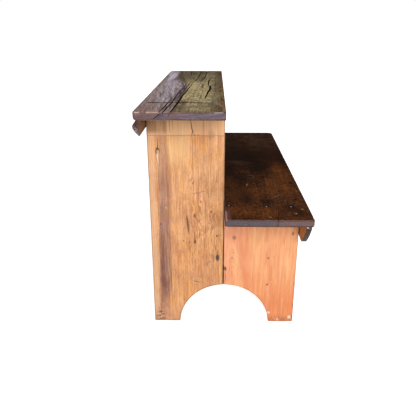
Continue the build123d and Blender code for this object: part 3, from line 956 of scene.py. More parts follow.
    wood.end_lines("left", [
        ([(160, 748, 5), (174, 740, 9), (186, 732, 7)], (78, 80, 98), 0.5),
        ([(172, 751, 1.6), (184, 741, 2), (197, 731, 1.2)], (30, 30, 38), 0.9, -0.5),
        ([(163, 750, 0.8), (176, 740, 1), (186, 733, 0.5)], (50, 44, 50), 0.7, -0.3),
        ([(147, 751, 1.4), (153, 744, 1.3), (158, 737, 0.6)], (34, 28, 32), 0.85, -0.4),
    ])
    wood.dig((wood.late, 0.12), (wood.fibre, 0.2), (hairs, 0.5), (hatch, 0.3), (pores, 0.1), (cross, -0.5))
    rough = w.ease(w.plus(w.times(blotch, 0.7), w.times(wood.fibre, 0.3)), 0.3, 0.7, 0.42, 0.62)
    lit = w.times(behind, light, w.ease(along, -520, -300, 0.3, 1))
    wax = w.times(w.plus(w.times(lit, 0.2), 0.02),
                  w.math("SUBTRACT", 1, w.most(cross, w.most(wood.groove, drawn)), clamp=True))
    return wood.finish(rough, bump=0.6, specular=0, coat=wax, coat_roughness=0.32)


def shelf_material_lower(finish):
    """Nearly black stain that has rubbed through to orange-brown towards the left-hand end."""
    wood = Wood("lower shelf stain", "ZYX", (408, -120, 0), (0, 0.02, 0), 7, 4, 47)
    w, across, along, tint, wash = wood.tools
    ragged, torn = wood.warped(10, 5), wood.warped(26, 34)
    mottle, blotch, specks = wood.dirt(48, 7, 0.3)
    near = w.ease(w.plus(along, w.swing(mottle, 600)), 160, -470)
    wood.colour = w.mix(near, paint(finish.low_stain, 0.38), paint(finish.low_stain, 1.12))
    far_end = w.times(w.ease(along, 60, 420), w.ease(mottle, 0.26, 0.7))
    tint(far_end, (74, 51, 34), 0.8)
    cloud = wood.cloud((1, 0.6, 0.5), 0.16, 6, 0.72)
    tint((w.ease(cloud, 0.5, 0.6), w.ease(near, 0, 0.5)), (112, 62, 26), 0.5)
    for places, colour, strength in ((RUBBED_THROUGH, (124, 70, 30), 0.36),
                                     (DARK_CLOUDS, (22, 14, 11), 0.72)):
        wood.ovals(torn, [(*place, 0.95, colour, strength) for place in places])
    wash(cloud, 0.47, 0.35, (20, 13, 10), 0.8)
    fleck = wood.cloud((1, 1, 0.16), 0.3, 4, 0.74)
    tint((w.ease(fleck, 0.54, 0.66), near), (130, 76, 34), 0.2)
    wash(fleck, 0.47, 0.37, (22, 14, 10), 0.5)
    scuffs = wood.cloud((1, 0.25, 1), 0.1, 4, 0.65)
    scuffed = w.ease(wood.oval(torn, wood.spot(-48, 14), (34, 48, 1), 0.6), 0, 0.8)
    tint((w.ease(scuffs, 0.42, 0.66), scuffed), (92, 64, 50), 0.5)
    grit = wood.cloud((1, 1, 0.6), 0.45, 4, 0.7)
    tint((w.ease(grit, 0.54, 0.68), near), (136, 84, 44), 0.3)
    wash(grit, 0.45, 0.34, (18, 12, 9), 0.5)
    tint(wood.late, (20, 12, 9), 0.4)
    tint(wood.threads, (14, 9, 7), 0.55)
    shaded = w.times(w.ease(along, -480, -400), w.ease(w.plus(across, w.swing(cloud, 80)), -110, -30))
    tint(shaded, (30, 20, 14), 0.45)
    corner = w.plus(across, w.swing(grit, 16))
    corner = w.times(w.ease(along, -470, -520), w.ease(corner, -20, -8))
    tint(corner, (108, 76, 70), 0.5)
    pale = w.times(w.ease(along, -506, -522), w.ease(across, -4.6, -2.6))
    tint(pale, (180, 146, 138), 0.5)
    wash(across, 0.4, 1.6, (48, 30, 24), 0.85)
    wash(along, 562, 570, (10, 7, 6), 0.6)
    wood.ovals(ragged, [
        (-232, -240, 6, 8, 0.5, (10, 7, 7), 0.92, -0.4),
        (-224, -408, 5, 7, 0.5, (10, 7, 7), 0.9, -0.4),
        (-238, -324, 3, 4, 0.4, (140, 112, 84), 0.6),
        (-208, -527, 3, 4, 0.4, (150, 140, 140), 0.65),
        (-231, -492, 3, 3, 0.4, (160, 130, 90), 0.7),
        (-128, -558, 3, 4, 0.4, (150, 130, 110), 0.6),
    ])
    for q, g in ((-11, -464), (-125, -473), (-200, -472)):
        wood.ovals(ragged, [(q, g, 7, 9, 0.4, (14, 10, 10), 0.9)])
        wood.ovals(wood.flat, [(q, g, 2.8, 3.6, 0.3, (136, 140, 152), 0.8)])
    wood.lines(wood.warped(8, 2.5), [
        ([(-145, -399, 0.6), (-158, -388, 1.2), (-173, -372, 1.4), (-178, -360, 0.5)], (132, 124, 120), 0.5),
        ([(-149, -300, 0.5), (-150, -230, 1), (-150, -170, 0.5)], (112, 100, 96), 0.45),
        ([(-147, -580, 0.8), (-150, -566, 0.9), (-154, -540, 0.5)], (14, 9, 8), 0.9, -0.6),
        ([(-76, -272, 0.8), (-78, -262, 1.3), (-80, -250, 0.7)], (184, 146, 118), 0.8),
        ([(-84, -160, 0.8), (-96, -150, 1.3), (-112, -166, 0.8)], (120, 104, 104), 0.55),
        ([(-82, -176, 0.7), (-95, -186, 1), (-110, -180, 0.6)], (112, 98, 98), 0.45),
    ])
    tint(specks, (12, 8, 7), 0.6)
    # near-black painted shade in the depths of the cracks, over their shallow real grooves
    wash(wood.groove, 0.05, 0.5, (10, 7, 6), 0.97)
    rubbed = wood.rubbed(1.1 * finish.wear, 0.5)
    tint(rubbed, (146, 108, 94), 0.6)
    pores = wood.cloud((0.5, 1.6, 1), 0.55, 4, 0.7)
    end_tone = w.mix(w.ease(across, -110, -180), (106, 100, 108), (130, 108, 106))
    end_tone = w.mix(w.ease(pores, 0.4, 0.66), end_tone, (60, 52, 54))
    flat_end = w.times(wood.end, wood.wall)
    tint(flat_end, end_tone)
    tint((flat_end, rubbed), (150, 116, 98), 0.6)
    wood.end_lines("left", [
        ([(-147, 447, 1), (-148, 436, 1.2), (-150, 424, 0.8)], (18, 14, 16), 0.9, -0.5),
        ([(-60, 436, 0.5), (-66, 430, 0.8), (-72, 426, 0.4)], (40, 34, 40), 0.6, -0.2),
    ])
    wood.dig((wood.late, 0.12), (wood.fibre, 0.15), (cloud, 0.2), (grit, 0.15))
    rough = w.ease(blotch, 0.3, 0.7, 0.34, 0.55)
    return wood.finish(rough, bump=0.5, specular=0, coat=0.01, coat_roughness=0.25)


def shelf(name, node, cracks, radii, arrises, seed, material, context, relief, extra=()):
    """A shelf. Radii are those of its plan corners: left rear, left front, right rear, right front."""
    low, high = span(node)
    step = sizes_of(context).grid / MM
    along = steps(low[0], high[0], 4.6, 0.42, extra)
    b, inside, groove = crack_rows(along, low[1], high[1], cracks, step, seed)
    a = np.repeat(along[:, None], b.shape[1], axis=1)
    corners = (((low[0], high[1]), (-1, 1)), ((low[0], low[1]), (-1, -1)),
               ((high[0], high[1]), (1, 1)), ((high[0], low[1]), (1, -1)))
    for (corner, toward), radius in zip(corners, radii):
        a, b = rounded_corner(a, b, corner, toward, radius)
    thickness = high[2] - low[2]
    points, quads, fields, info = board_surface(a, b, thickness, arrises[0], arrises[1], relief, groove, seed)
    add_rims(fields, info, lambda p, q: shelf_rim(p, q, low, high))
    fields["groove"][:info[4]] = inside.reshape(-1)
    points = points + np.array([0, 0, (low[2] + high[2]) / 2])
    return make_piece(name, points, quads, fields, material, [node])


class BENCH_OT_upper_shelf(bpy.types.Operator):
    """Adds the upper shelf, with its drying cracks, rounded corners and two-toned stain"""

    bl_idname = "bench.upper_shelf"
    bl_label = "Upper Shelf"

    def execute(self, context):
        high = span("upper_shelf")[1]
        top = worn(sizes_of(context).arris / MM, 0.35, 21,
                   [(-580, 176, 1.4, 5), (-580, 152, 1.8, 6), (-580, 167, 1.0, 4), (-580, 60, 0.8, 9),
                    (580, 80, 1.5, 9)])

        def rear(a, b):
            return 1.6 + 6.0 * np.clip((b - high[1] + 9) / 9, 0, 1) ** 2

        under = worn(rear, 0.12, 22)
        dents = [(-300, 205, 0.5, 7), (-120, 190, 0.4, 9), (210, 60, 0.5, 8), (350, 190, 0.4, 10),
                 (-480, 90, 0.5, 6)]
        face = planed(context, 23, dents)

        def relief(a, b, side):
            line = np.exp(-((a - CROSS_LINE + 0.8 * ripple(b / 30, 0, 24)) / 3.0) ** 2)
            line = line * np.clip((b - 55) / 25, 0, 1) * np.clip((236 - b) / 10, 0, 1)
            return face(a, b, side) - 0.55 * line * (side > 0)

        cross = CROSS_LINE + np.array([-6.0, -4.2, -2.8, -1.4, 0.0, 1.4, 2.8, 4.2, 6.0])
        shelf("upper_shelf_board", "upper_shelf", UPPER_CRACKS, (11.0, 5.0, 28.0, 12.0), (top, under), 25,
              shelf_material_upper(finish_of(context)), context, relief, cross)
        return {"FINISHED"}


class BENCH_OT_lower_shelf(bpy.types.Operator):
    """Adds the lower shelf, nearly black, with scuffs and a short end crack"""

    bl_idname = "bench.lower_shelf"
    bl_label = "Lower Shelf"

    def execute(self, context):
        low = span("lower_shelf")[0]
        top = worn(sizes_of(context).arris / MM, 0.4, 31,
                   [(-580, -152, 1.6, 4), (-580, -3, 2.6, 9), (-560, -253, 2.0, 10), (100, -253, 1.6, 14),
                    (-300, -253, 1.2, 12)])

        def front(a, b):
            return 1.5 + 5.0 * np.clip((low[1] - b + 8) / 8, 0, 1) ** 2

        under = worn(front, 0.12, 32)
        dents = [(-400, -230, 0.9, 4), (-245, -230, 0.9, 4), (-520, -60, 0.4, 9), (-100, -180, 0.4, 10),
                 (150, -90, 0.5, 8), (330, -200, 0.4, 9)]
        cracks = [[(-580, -149, 0.8), (-556, -152, 0.7), (-520, -157, 0.4), (-470, -160, 0.0)],
                  [(330, -60, 0.0), (420, -58, 0.5), (580, -55, 0.7)]]
        shelf("lower_shelf_board", "lower_shelf", cracks, (5.0, 6.0, 5.0, 24.0), (top, under), 35,
              shelf_material_lower(finish_of(context)), context,
              planed(context, 33, dents))
        return {"FINISHED"}


# ------------------------------------------------------------------ end boards
class Arch:
    """The round arch cut through both boards of an end, as a circle through its two feet and its top."""

    def __init__(self, context):
        tall, short = span("left_tall_end_board"), span("left_short_end_board")
        sizes = sizes_of(context)
        self.rear = tall[1][1] - sizes.rear_foot / MM
        self.front = short[0][1] + sizes.front_foot / MM
        top = sizes.arch_top / MM
        half = (self.rear - self.front) / 2
        self.radius = (half * half + top * top) / (2 * top)
        self.middle = (self.rear + self.front) / 2
        self.level = top - self.radius

    def height(self, y):
        """Height of the arch over the floor at y: level + sqrt(radius^2 - (y - middle)^2)."""
        return self.level + np.sqrt(np.maximum(self.radius**2 - (y - self.middle) ** 2, 0))

    def gap(self, y, z):
        """Distance from a point to the arch's edge."""
        return np.hypot(y - self.middle, z - self.level) - self.radius


def end_board_grid(arch, outer_y, seam_y, foot_y, top, step):
    """Grid of an end board, as (z, y): rows run from the straight outer edge to the arch and the seam edge.

    The far side of each row climbs the arch, by even steps of angle, and then the seam edge.
    The outer side climbs in step with it, higher by 40 mm times the square of the share climbed,
    so that no row cuts into the arch. Points between are on the straight line that joins the two.
    """
    start = math.atan2(-arch.level, foot_y - arch.middle)
    end = math.atan2(float(arch.height(seam_y)) - arch.level, seam_y - arch.middle)
    fine = np.array([0.0, 0.5, 1.1, 1.8, 2.8, 4.2])
    share = np.concatenate([fine / 190, np.linspace(0.03, 0.97, 64), 1 - fine[::-1] / 190])
    angle = start + (end - start) * share
    ey = arch.middle + arch.radius * np.cos(angle)
    ez = arch.level + arch.radius * np.sin(angle)
    ez[0] = 0.0
    wz = ez + 40.0 * share**2
    up = steps(ez[-1], top, step * 1.25)[1:]
    climb = (up - ez[-1]) / (top - ez[-1])
    ey = np.concatenate([ey, np.full(up.size, seam_y)])
    ez = np.concatenate([ez, up])
    wz = np.concatenate([wz, wz[-1] + climb * (top - wz[-1])])
    s = steps(0.0, abs(outer_y - seam_y), step) / abs(outer_y - seam_y)
    y = outer_y + (ey[:, None] - outer_y) * s[None, :]
    z = wz[:, None] + (ez - wz)[:, None] * s[None, :]
    return z, y


# Marks, read as in Wood.ovals and Wood.lines: across is y and along is z.
TALL_OVALS = [
    (207, 606, 6.2, 11, 0.3, (66, 44, 34), 0.88),
    (206, 603, 3.2, 6.5, 0.4, (196, 158, 120), 0.7),
    (22.5, 245, 5.8, 12, 0.35, (66, 56, 54), 0.92),
    (96, 302.5, 4, 6.5, 0.4, (84, 56, 44), 0.85),
    (96.5, 395, 4.6, 6.5, 0.5, (96, 66, 50), 0.8),
    (42.5, 408, 3, 4, 0.5, (86, 58, 46), 0.8),
    (25, 325, 3, 3.6, 0.4, (70, 48, 42), 0.85),
    (133.5, 306.5, 2.6, 3, 0.5, (92, 62, 48), 0.75),
    (205, 365, 3, 4, 0.5, (84, 58, 48), 0.7),
    (101, 504, 2.4, 4, 0.5, (128, 86, 60), 0.7),
    (75, 444, 2, 2.4, 0.5, (110, 74, 54), 0.6),
    (56, 222, 3, 6, 0.5, (150, 104, 74), 0.6),
    (187.5, 422, 2.6, 4, 0.4, (206, 176, 140), 0.7),
    (206, 160, 6, 18, 0.7, (96, 66, 54), 0.5),
    (44, 655, 9, 14, 0.6, (150, 100, 66), 0.35),
    (216, 36, 5, 5, 0.5, (84, 56, 44), 0.7),
    (209, 26, 4, 3, 0.5, (70, 46, 36), 0.8),
    (222, 20, 6, 3, 0.5, (88, 60, 46), 0.6),
    (212, 9, 10, 3.5, 0.6, (92, 62, 48), 0.6),
    (95, 655, 2.2, 2.6, 0.5, (112, 72, 60), 0.7),
    (83, 655, 2.2, 2.6, 0.5, (112, 72, 60), 0.7),
]
TALL_LINES = [
    ([(106, 704, 1.2), (102, 675, 2), (98.5, 665, 2.3), (104, 652, 1)], (78, 52, 40), 0.85),
    ([(207, 598, 1.9), (207.5, 584, 2.3), (206.5, 572, 1.5), (206, 562, 0.6)], (240, 216, 194), 0.85),
    ([(212, 600, 0.8), (212, 588, 1.1), (209, 568, 0.8)], (128, 84, 62), 0.7),
    ([(207, 650, 0.7), (206, 628, 1.4), (207.5, 612, 2.1)], (74, 50, 38), 0.85),
    ([(236, 654, 1.6), (170, 653, 1.8), (100, 654, 1.8), (6, 653, 1.6)], (176, 122, 112), 0.6),
    ([(207, 566, 0.8), (206.5, 530, 1.2), (205, 480, 0.7)], (126, 84, 66), 0.6),
    ([(122, 400, 1.6), (119, 370, 6.4), (115, 330, 2)], (168, 110, 78), 0.5),
    ([(121, 394, 1.4), (119.5, 376, 4.2), (117.5, 354, 3.8), (115.5, 334, 1.3)], (84, 64, 60), 0.85),
    ([(98, 398, 1.2), (92, 388, 2.4), (86, 370, 1.2)], (138, 86, 62), 0.6),
    ([(90, 386, 0.8), (80, 372, 2), (72, 354, 1)], (146, 94, 68), 0.55),
    ([(108, 374, 1.2), (104, 358, 2.4), (101, 342, 1)], (158, 106, 74), 0.5),
    ([(97, 342, 0.8), (97, 320, 1.6), (96, 306, 2.9)], (98, 66, 48), 0.75),
    ([(22, 276, 0.8), (23, 262, 1.8), (22.5, 248, 4.4)], (84, 62, 54), 0.75),
    ([(102, 470, 1), (84, 473, 1.8), (62, 478, 0.9)], (120, 82, 62), 0.65),
    ([(105, 158, 1), (92, 156, 2.1), (80, 153, 0.9)], (92, 64, 52), 0.7),
    ([(20, 326, 1), (6, 329, 1)], (104, 72, 56), 0.5),
    ([(169, 733, 1.2), (168.5, 690, 1.3), (168, 664, 0.7)], (116, 76, 50), 0.7),
    ([(160.6, 733, 0.9), (160.4, 700, 1.2), (160, 672, 0.5)], (120, 80, 52), 0.65),
    ([(143, 733, 0.7), (143, 690, 0.8), (142, 640, 0.4)], (150, 100, 66), 0.5),
    ([(66, 733, 0.9), (67, 680, 1.2), (66, 600, 0.5)], (140, 92, 60), 0.5),
    ([(100, 640, 1), (101, 560, 1.4), (99, 480, 0.8)], (140, 90, 66), 0.55),
    ([(84, 560, 0.8), (83, 500, 1.2), (85, 400, 0.7)], (146, 96, 68), 0.5),
    ([(60, 610, 0.8), (58, 520, 1.2), (60, 420, 0.7)], (150, 98, 70), 0.5),
    ([(44, 600, 0.8), (42, 540, 1), (44, 470, 0.5)], (150, 98, 70), 0.45),
    ([(92, 380, 1), (84, 350, 1.7), (70, 326, 1)], (150, 100, 68), 0.4),
]
SHORT_OVALS = [
    (-31.5, 319, 6, 6.5, 0.6, (152, 96, 78), 0.75),
    (-220, 335, 4, 7, 0.5, (150, 92, 72), 0.75),
    (-30, 263.5, 2, 2.4, 0.5, (150, 96, 72), 0.7),
    (-145, 246, 4, 4.6, 0.6, (176, 104, 78), 0.7),
    (-145, 146, 3.8, 3.8, 0.5, (150, 88, 66), 0.8),
    (-154, 36, 6, 5, 0.4, (250, 226, 196), 0.9),
    (-227.5, 18, 6, 7, 0.5, (252, 234, 210), 0.85),
    (-185, 9, 9, 5, 0.5, (246, 214, 184), 0.6),
    (-237, 150, 3, 9, 0.5, (120, 78, 60), 0.8),
    (-237, 65, 3, 8, 0.5, (96, 64, 50), 0.8),
    (-236, 20, 3, 7, 0.5, (88, 58, 46), 0.8),
    (-4, 205, 4, 8, 0.5, (96, 64, 50), 0.85),
]
SHORT_LINES = [
    ([(-160, 160, 0.5), (-150, 138, 0.9), (-147.5, 80, 0.9), (-147.5, 40, 0.5)], (250, 206, 172), 0.6),
    ([(-22, 305, 0.5), (-30, 250, 1.2), (-22, 215, 0.5)], (232, 146, 106), 0.5),
    ([(-3, 196, 1.2), (-4.5, 182, 2.4), (-3.5, 160, 2.2), (-2.5, 148, 1)], (170, 128, 112), 0.8),
    ([(-176, 26, 0.8), (-179, 14, 1.8), (-180, 3, 1.6)], (170, 92, 70), 0.7),
    ([(-191, 30, 0.6), (-190, 16, 1.4), (-192, 4, 1.2)], (176, 96, 70), 0.6),
    ([(-166, 22, 0.6), (-167, 10, 1.2), (-165, 2, 1)], (176, 96, 70), 0.6),
]


def honey_material(finish, name, seed, heart, lean, ovals, lines, streaked):
    """Aged honey pine: straight upright grain, a brown streak along it and a band of painted shade at the
    top.
    """
    wood = Wood(name, "XYZ", heart, lean, 5.6, 2.2, seed)
    w, across, along, tint, wash = wood.tools
    mottle, blotch, specks = wood.dirt(80, 8, 0.12)
    light, deep = paint(finish.honey, 1.16), paint(finish.honey, 0.8)
    wood.colour = w.mix(w.ease(mottle, 0.32, 0.68), light, deep)
    wash(along, 420, 160, (206, 138, 88), 0.42)
    wash(wood.streak, 0.48, 0.66, (216, 150, 98), 0.6)
    wash(wood.streak, 0.44, 0.32, (252, 200, 146), 0.5)
    patch = wood.cloud((1, 1, 0.5), 0.03, 4, 0.6, 0.6)
    wash(patch, 0.5, 0.64, (238, 166, 88), 0.66)
    pith = wood.cloud((1, 1, 0.3), 0.42, 3, 0.7)
    wash(pith, 0.53, 0.66, (186, 122, 76), 0.45)
    wash(pith, 0.45, 0.34, (255, 206, 144), 0.3)
    tint((w.ease(patch, 0.48, 0.36), w.ease(along, 640, 340)), (196, 124, 76), 0.7)
    bands = wood.cloud((1, 1, 0.09), 0.075, 3, 0.6)
    wash(bands, 0.52, 0.64, (206, 134, 84), 0.45)
    wash(bands, 0.46, 0.34, (255, 206, 144), 0.4)
    tint(wood.late, (186, 118, 70), 0.55)
    wash(wood.fibre, 0.51, 0.66, (166, 102, 60), 0.52)
    wash(wood.fibre, 0.47, 0.34, (255, 210, 158), 0.3)
    tint(wood.threads, w.mix(w.ease(along, 620, 380), (176, 112, 70), (138, 86, 58)), 0.62)
    middle = w.between(across, 150, 112, -6, 30)
    middle = w.times(middle, w.times(w.ease(along, 110, 330, 0.3, 1), w.ease(along, 640, 420, 0.1, 1)))
    curl = wood.cloud((1, 1, 0.55), 0.028, 3, 0.6)
    curl = w.plus(across, w.swing(curl, 46))
    curled = w.joined(wood.through, curl, w.times(along, 0.06))
    feather = w.noise(curled, 0.34, 5, 0.76, 0.3)
    tint((middle, w.ease(feather, 0.5, 0.6)), (140, 86, 56), 0.66)
    wash(across, 214, 226, (232, 190, 152), 0.45)
    below = w.times(w.ease(along, 540, 600), w.near(across, 148, 46, 20))
    tint(below, (255, 208, 142), 0.35)
    if streaked:
        sway = w.swing(wood.cloud((1, 1, 0.2), 0.05, 4, 0.65), 12)
        place = w.plus(across, sway)
        outer = w.course(along, 0, 740, [
            (0, 216), (130, 219), (250, 217), (420, 211), (560, 207), (650, 206)], 150, 250)
        inner = w.course(along, 0, 740, [
            (0, 194), (80, 186), (130, 178), (300, 174), (420, 171), (560, 169), (650, 176)], 150, 250)
        band = w.times(w.ease(w.minus(place, outer), 5, -8), w.ease(w.minus(place, inner), -8, 11))
        power = w.course(along, 0, 740, [(0, 0.45), (50, 0.62), (110, 0.86), (200, 0.95), (320, 0.92),
                                         (430, 0.84), (500, 0.7), (580, 0.55), (640, 0.42), (668, 0)])
        broken = w.ease(wood.cloud((1, 1, 0.05), 0.3, 5, 0.72), 0.36, 0.6, 0.6, 1)
        tint((band, power, broken), (0.36, 0.355, 0.68, 1), 1, "MULTIPLY")
        core = w.times(w.near(place, 203, 13, 2), w.between(along, 50, 150, 400, 300))
        tint(core, (0.48, 0.44, 0.6, 1), 0.6, "MULTIPLY")
        # painted shade from the upper shelf's overhang: the band above the scribe line is tinted greyer, and
        # the rear corner under it darker
        line = w.plus(along, w.swing(mottle, 8))
        shade = w.ease(line, 653, 658)
        tint(shade, (244, 194, 148), 0.5)
        corner = w.times(w.ease(line, 654, 672), w.ease(across, 173.5, 179.5))
        tint(corner, (168, 122, 84), 0.5)
        tint((corner, w.ease(across, 200, 232)), (142, 98, 40), 0.55)
        tint((corner, w.near(across, 182, 9, 2)), (134, 94, 66), 0.25)
        tint((corner, w.ease(wood.fibre, 0.45, 0.6)), (122, 82, 50), 0.5)
    foot = w.times(w.ease(along, 54, 6), w.ease(blotch, 0.42, 0.58))
    tint(foot, (136, 98, 82), 0.5)
    tint((w.ease(along, 96, 30), w.ease(across, 150, 170)), (226, 170, 138), 0.3)
    pits = wood.cloud((1, 1, 0.7), 0.3, 3, 0.7)
    pitted = w.times(w.ease(along, 104, 20), w.near(across, 215, 26, 10))
    tint((pitted, w.ease(pits, 0.56, 0.61)), (80, 52, 46), 0.9)
    tint((pitted, w.ease(pits, 0.44, 0.36)), (240, 190, 150), 0.7)
    wood.ovals(wood.warped(9, 4), ovals)
    wood.lines(wood.warped(7, 2.4), lines)
    tint(specks, (130, 86, 62), 0.45)
    rim = w.ease(w.plus(wood.edge, w.swing(blotch, 7)), 4.5, 0.6)
    tint(rim, (124, 82, 58), 0.5)
    rubbed = wood.rubbed(0.7 * finish.wear, 0.4)
    tint(rubbed, (92, 62, 46), 0.5)
    wood.side(blotch, (182, 120, 78), (128, 82, 54), (92, 62, 44))
    # painted shade in the seam between the two boards of an end
    seam = w.times(w.most(wood.wall, wood.slope), w.ease(across, 14, 9))
    tint((seam, w.ease(along, 455, 446)), (30, 20, 16), 0.9)
    wood.dig((wood.late, 0.14), (wood.fibre, 0.2), (wood.threads, -0.25), (specks, -0.15))
    rough = w.ease(w.plus(blotch, w.times(wood.late, -0.2)), 0.3, 0.7, 0.42, 0.6)
    return wood.finish(rough, bump=0.5, specular=0.3)


def pink_material(finish, name, seed, heart, lean, ovals, lines):
    """Aged orange-pink pine, plainer, with a long cathedral figure beside the seam."""
    wood = Wood(name, "XYZ", heart, lean, 6, 2, seed)
    w, across, along, tint, wash = wood.tools
    mottle, blotch, specks = wood.dirt(90, 9, 0.08)
    light, deep = paint(finish.pink, 1.08), paint(finish.pink, 0.84)
    wood.colour = w.mix(w.ease(mottle, 0.32, 0.68), light, deep)
    wash(across, -30, -120, (252, 186, 122), 0.45)
    wash(along, 240, 60, (232, 134, 80), 0.8)
    wash(wood.streak, 0.5, 0.68, (234, 146, 106), 0.5)
    wash(wood.streak, 0.44, 0.3, (254, 204, 156), 0.5)
    off = w.plus(across, 27, w.swing(wood.streak, 14))
    flame = w.plus(along, w.math("DIVIDE", w.times(off, off), 8))
    flame = w.plus(flame, w.swing(mottle, 60))
    wash(flame, 318, 290, (252, 190, 128), 0.6)
    rings = w.math("FRACT", w.math("DIVIDE", flame, 31))
    rings = w.times(w.ease(rings, 0.55, 0.95), w.between(flame, 330, 300, 120, 220))
    tint(rings, (214, 126, 84), 0.42)
    wash(across, -90, -10, (240, 160, 128), 0.35)
    tint(wood.late, (220, 134, 96), 0.36)
    wash(wood.fibre, 0.52, 0.7, (206, 124, 86), 0.4)
    wash(wood.fibre, 0.46, 0.32, (255, 206, 160), 0.3)
    bands = wood.cloud((1, 1, 0.12), 0.07, 4, 0.66)
    wash(bands, 0.51, 0.64, (232, 132, 84), 0.45)
    wash(bands, 0.46, 0.34, (255, 198, 138), 0.4)
    tint(wood.threads, (204, 120, 80), 0.5)
    wood.ovals(wood.warped(9, 4), ovals)
    wood.lines(wood.warped(7, 2.4), lines)
    tint(specks, (186, 112, 80), 0.4)
    foot = w.times(w.ease(along, 30, 4), w.ease(blotch, 0.42, 0.58))
    tint(foot, (150, 98, 70), 0.6)
    rim = w.ease(w.plus(wood.edge, w.swing(blotch, 6)), 4, 0.6)
    tint(rim, (176, 106, 70), 0.5)
    rubbed = wood.rubbed(0.6 * finish.wear, 0.4)
    tint(rubbed, (112, 70, 50), 0.5)
    wood.side(blotch, (206, 128, 88), (146, 88, 60), (110, 72, 52))
    # painted shade in the seam between the two boards of an end
    seam = w.times(w.most(wood.wall, wood.slope), w.ease(across, -12, -7))
    tint(seam, (34, 22, 18), 0.9)
    wood.dig((wood.late, 0.12), (wood.fibre, 0.18), (wood.threads, -0.2))
    return wood.finish(w.ease(blotch, 0.3, 0.7, 0.42, 0.58), bump=0.45, specular=0.3)


def end_board(context, side, kind, material, seed, dents, chips):
    """One upright board of an end. Its outer face looks away from the bench's middle."""
    node = f"{side}_{kind}_end_board"
    low, high = span(node)
    arch = Arch(context)
    tall = kind == "tall"
    outer_y, seam_y = (high[1], low[1]) if tall else (low[1], high[1])
    foot_y = arch.rear if tall else arch.front
    toward = 1 if tall else -1
    z, y = end_board_grid(arch, outer_y, seam_y - 0.22 * toward, foot_y, high[2], sizes_of(context).grid / MM)
    for corner, way, radius in (((0, outer_y), (-1, toward), 3.0), ((0, foot_y), (-1, -toward), 2.6),
                                ((float(arch.height(seam_y)), seam_y), (-1, -toward), 1.0),
                                ((high[2], outer_y), (1, toward), 1.5),
                                ((high[2], seam_y), (1, -toward), 1.5)):
        z, y = rounded_corner(z, y, corner, way, radius)
    base = sizes_of(context).arris / MM * 0.8
    outside = worn(lambda a, b: base + 1.1 * (np.abs(b - seam_y) < 1) * (a > 150), 0.4, seed + 1, chips)
    inside = worn(base, 0.3, seed + 2)
    points, quads, fields, info = board_surface(
        z, y, high[0] - low[0], outside, inside, planed(context, seed, dents),
        np.zeros(z.shape), seed)

    def rim(p, q):
        seam = np.where(p > arch.height(seam_y), np.abs(q - seam_y), FAR)
        floor = np.where(np.abs(q - outer_y) < abs(foot_y - outer_y), p, FAR)
        return np.minimum(np.minimum(np.abs(q - outer_y), seam), np.minimum(floor, np.abs(arch.gap(q, p))))

    add_rims(fields, info, rim)
    away = -1 if side == "left" else 1
    points = np.stack([(low[0] + high[0]) / 2 + away * points[:, 2], points[:, 1], points[:, 0]], -1)
    return make_piece(node + "_board", points, quads, fields, material, [node])


def shifted(ovals, lines, across, along, turn=1, share=1.0):
    """The same kinds of mark at other places: mirrored across by turn, moved, and fewer by share."""
    moved_ovals, moved_lines = [], []
    for k, (q, g, *rest) in enumerate(ovals):
        if (k * 0.37) % 1.0 < share:
            moved_ovals.append((turn * q + across, g + along + 31 * ((k * 7) % 5 - 2), *rest))
    for k, (points, *rest) in enumerate(lines):
        if (k * 0.61) % 1.0 < share:
            drop = along + 23 * ((k * 3) % 5 - 2)
            moved_lines.append(([(turn * q + across, g + drop, h) for q, g, h in points], *rest))
    return moved_ovals, moved_lines


class BENCH_OT_end_boards(bpy.types.Operator):
    """Adds the four upright end boards, with their arched feet, knots and streaks"""

    bl_idname = "bench.end_boards"
    bl_label = "End Boards"

    def execute(self, context):
        finish = finish_of(context)
        left = honey_material(finish, "honey pine, left", 5.0, (-400.0, -110.0, 0.0), (0.0, 0.012, 0.0),
                              TALL_OVALS, TALL_LINES, True)
        right = honey_material(finish, "honey pine, right", 71.0, (446.0, 118.0, 0.0), (-0.03, 0.02, 0.0),
                               *shifted(TALL_OVALS, TALL_LINES, 241.5, -20, -1, 0.55), False)
        end_board(context, "left", "tall", left, 41,
                  [(607, 207, 0.5, 6), (245, 22, 0.5, 8), (302, 96, 0.4, 6), (150, 92, 0.4, 8)],
                  [(205, 3.25, 2.0, 9), (330, 238, 1.2, 8), (28, 238, 1.6, 8), (0, 200, 1.5, 8),
                   (560, 3.25, 0.8, 10), (285, 3.25, 1.6, 24), (235, 3.25, 1.6, 20), (175, 3.25, 1.4, 20),
                   (360, 3.25, 1.0, 30)])
        end_board(context, "right", "tall", right, 51, [(500, 120, 0.4, 8), (310, 60, 0.4, 7)],
                  [(90, 238, 1.5, 8), (470, 3.25, 1.0, 9), (0, 180, 1.4, 8)])
        left = pink_material(finish, "pink pine, left", 23.0, (-424.0, -26.0, 0.0), (0.05, 0.0, 0.0),
                             SHORT_OVALS, SHORT_LINES)
        right = pink_material(finish, "pink pine, right", 93.0, (438.0, -150.0, 0.0), (0.02, -0.02, 0.0),
                              *shifted(SHORT_OVALS, SHORT_LINES, -235.5, 12, -1, 0.5))
        end_board(context, "left", "short", left, 61,
                  [(36, -154, 0.6, 5), (18, -227, 0.8, 7), (9, -185, 0.5, 7), (146, -145, 0.4, 5)],
                  [(208, 2.75, 5.0, 9), (150, -238, 1.4, 6), (65, -238, 1.2, 7), (20, -238, 1.6, 7),
                   (0, -225, 1.6, 9), (390, 2.75, 1.2, 26), (290, 2.75, 1.4, 26), (240, 2.75, 1.6, 16),
                   (176, 2.75, 3.2, 20), (155, 2.75, 1.8, 12)])
        end_board(context, "right", "short", right, 67, [(200, -90, 0.4, 8)],
                  [(260, -238, 1.3, 8), (30, -238, 1.4, 8), (0, -190, 1.3, 8)])
        return {"FINISHED"}


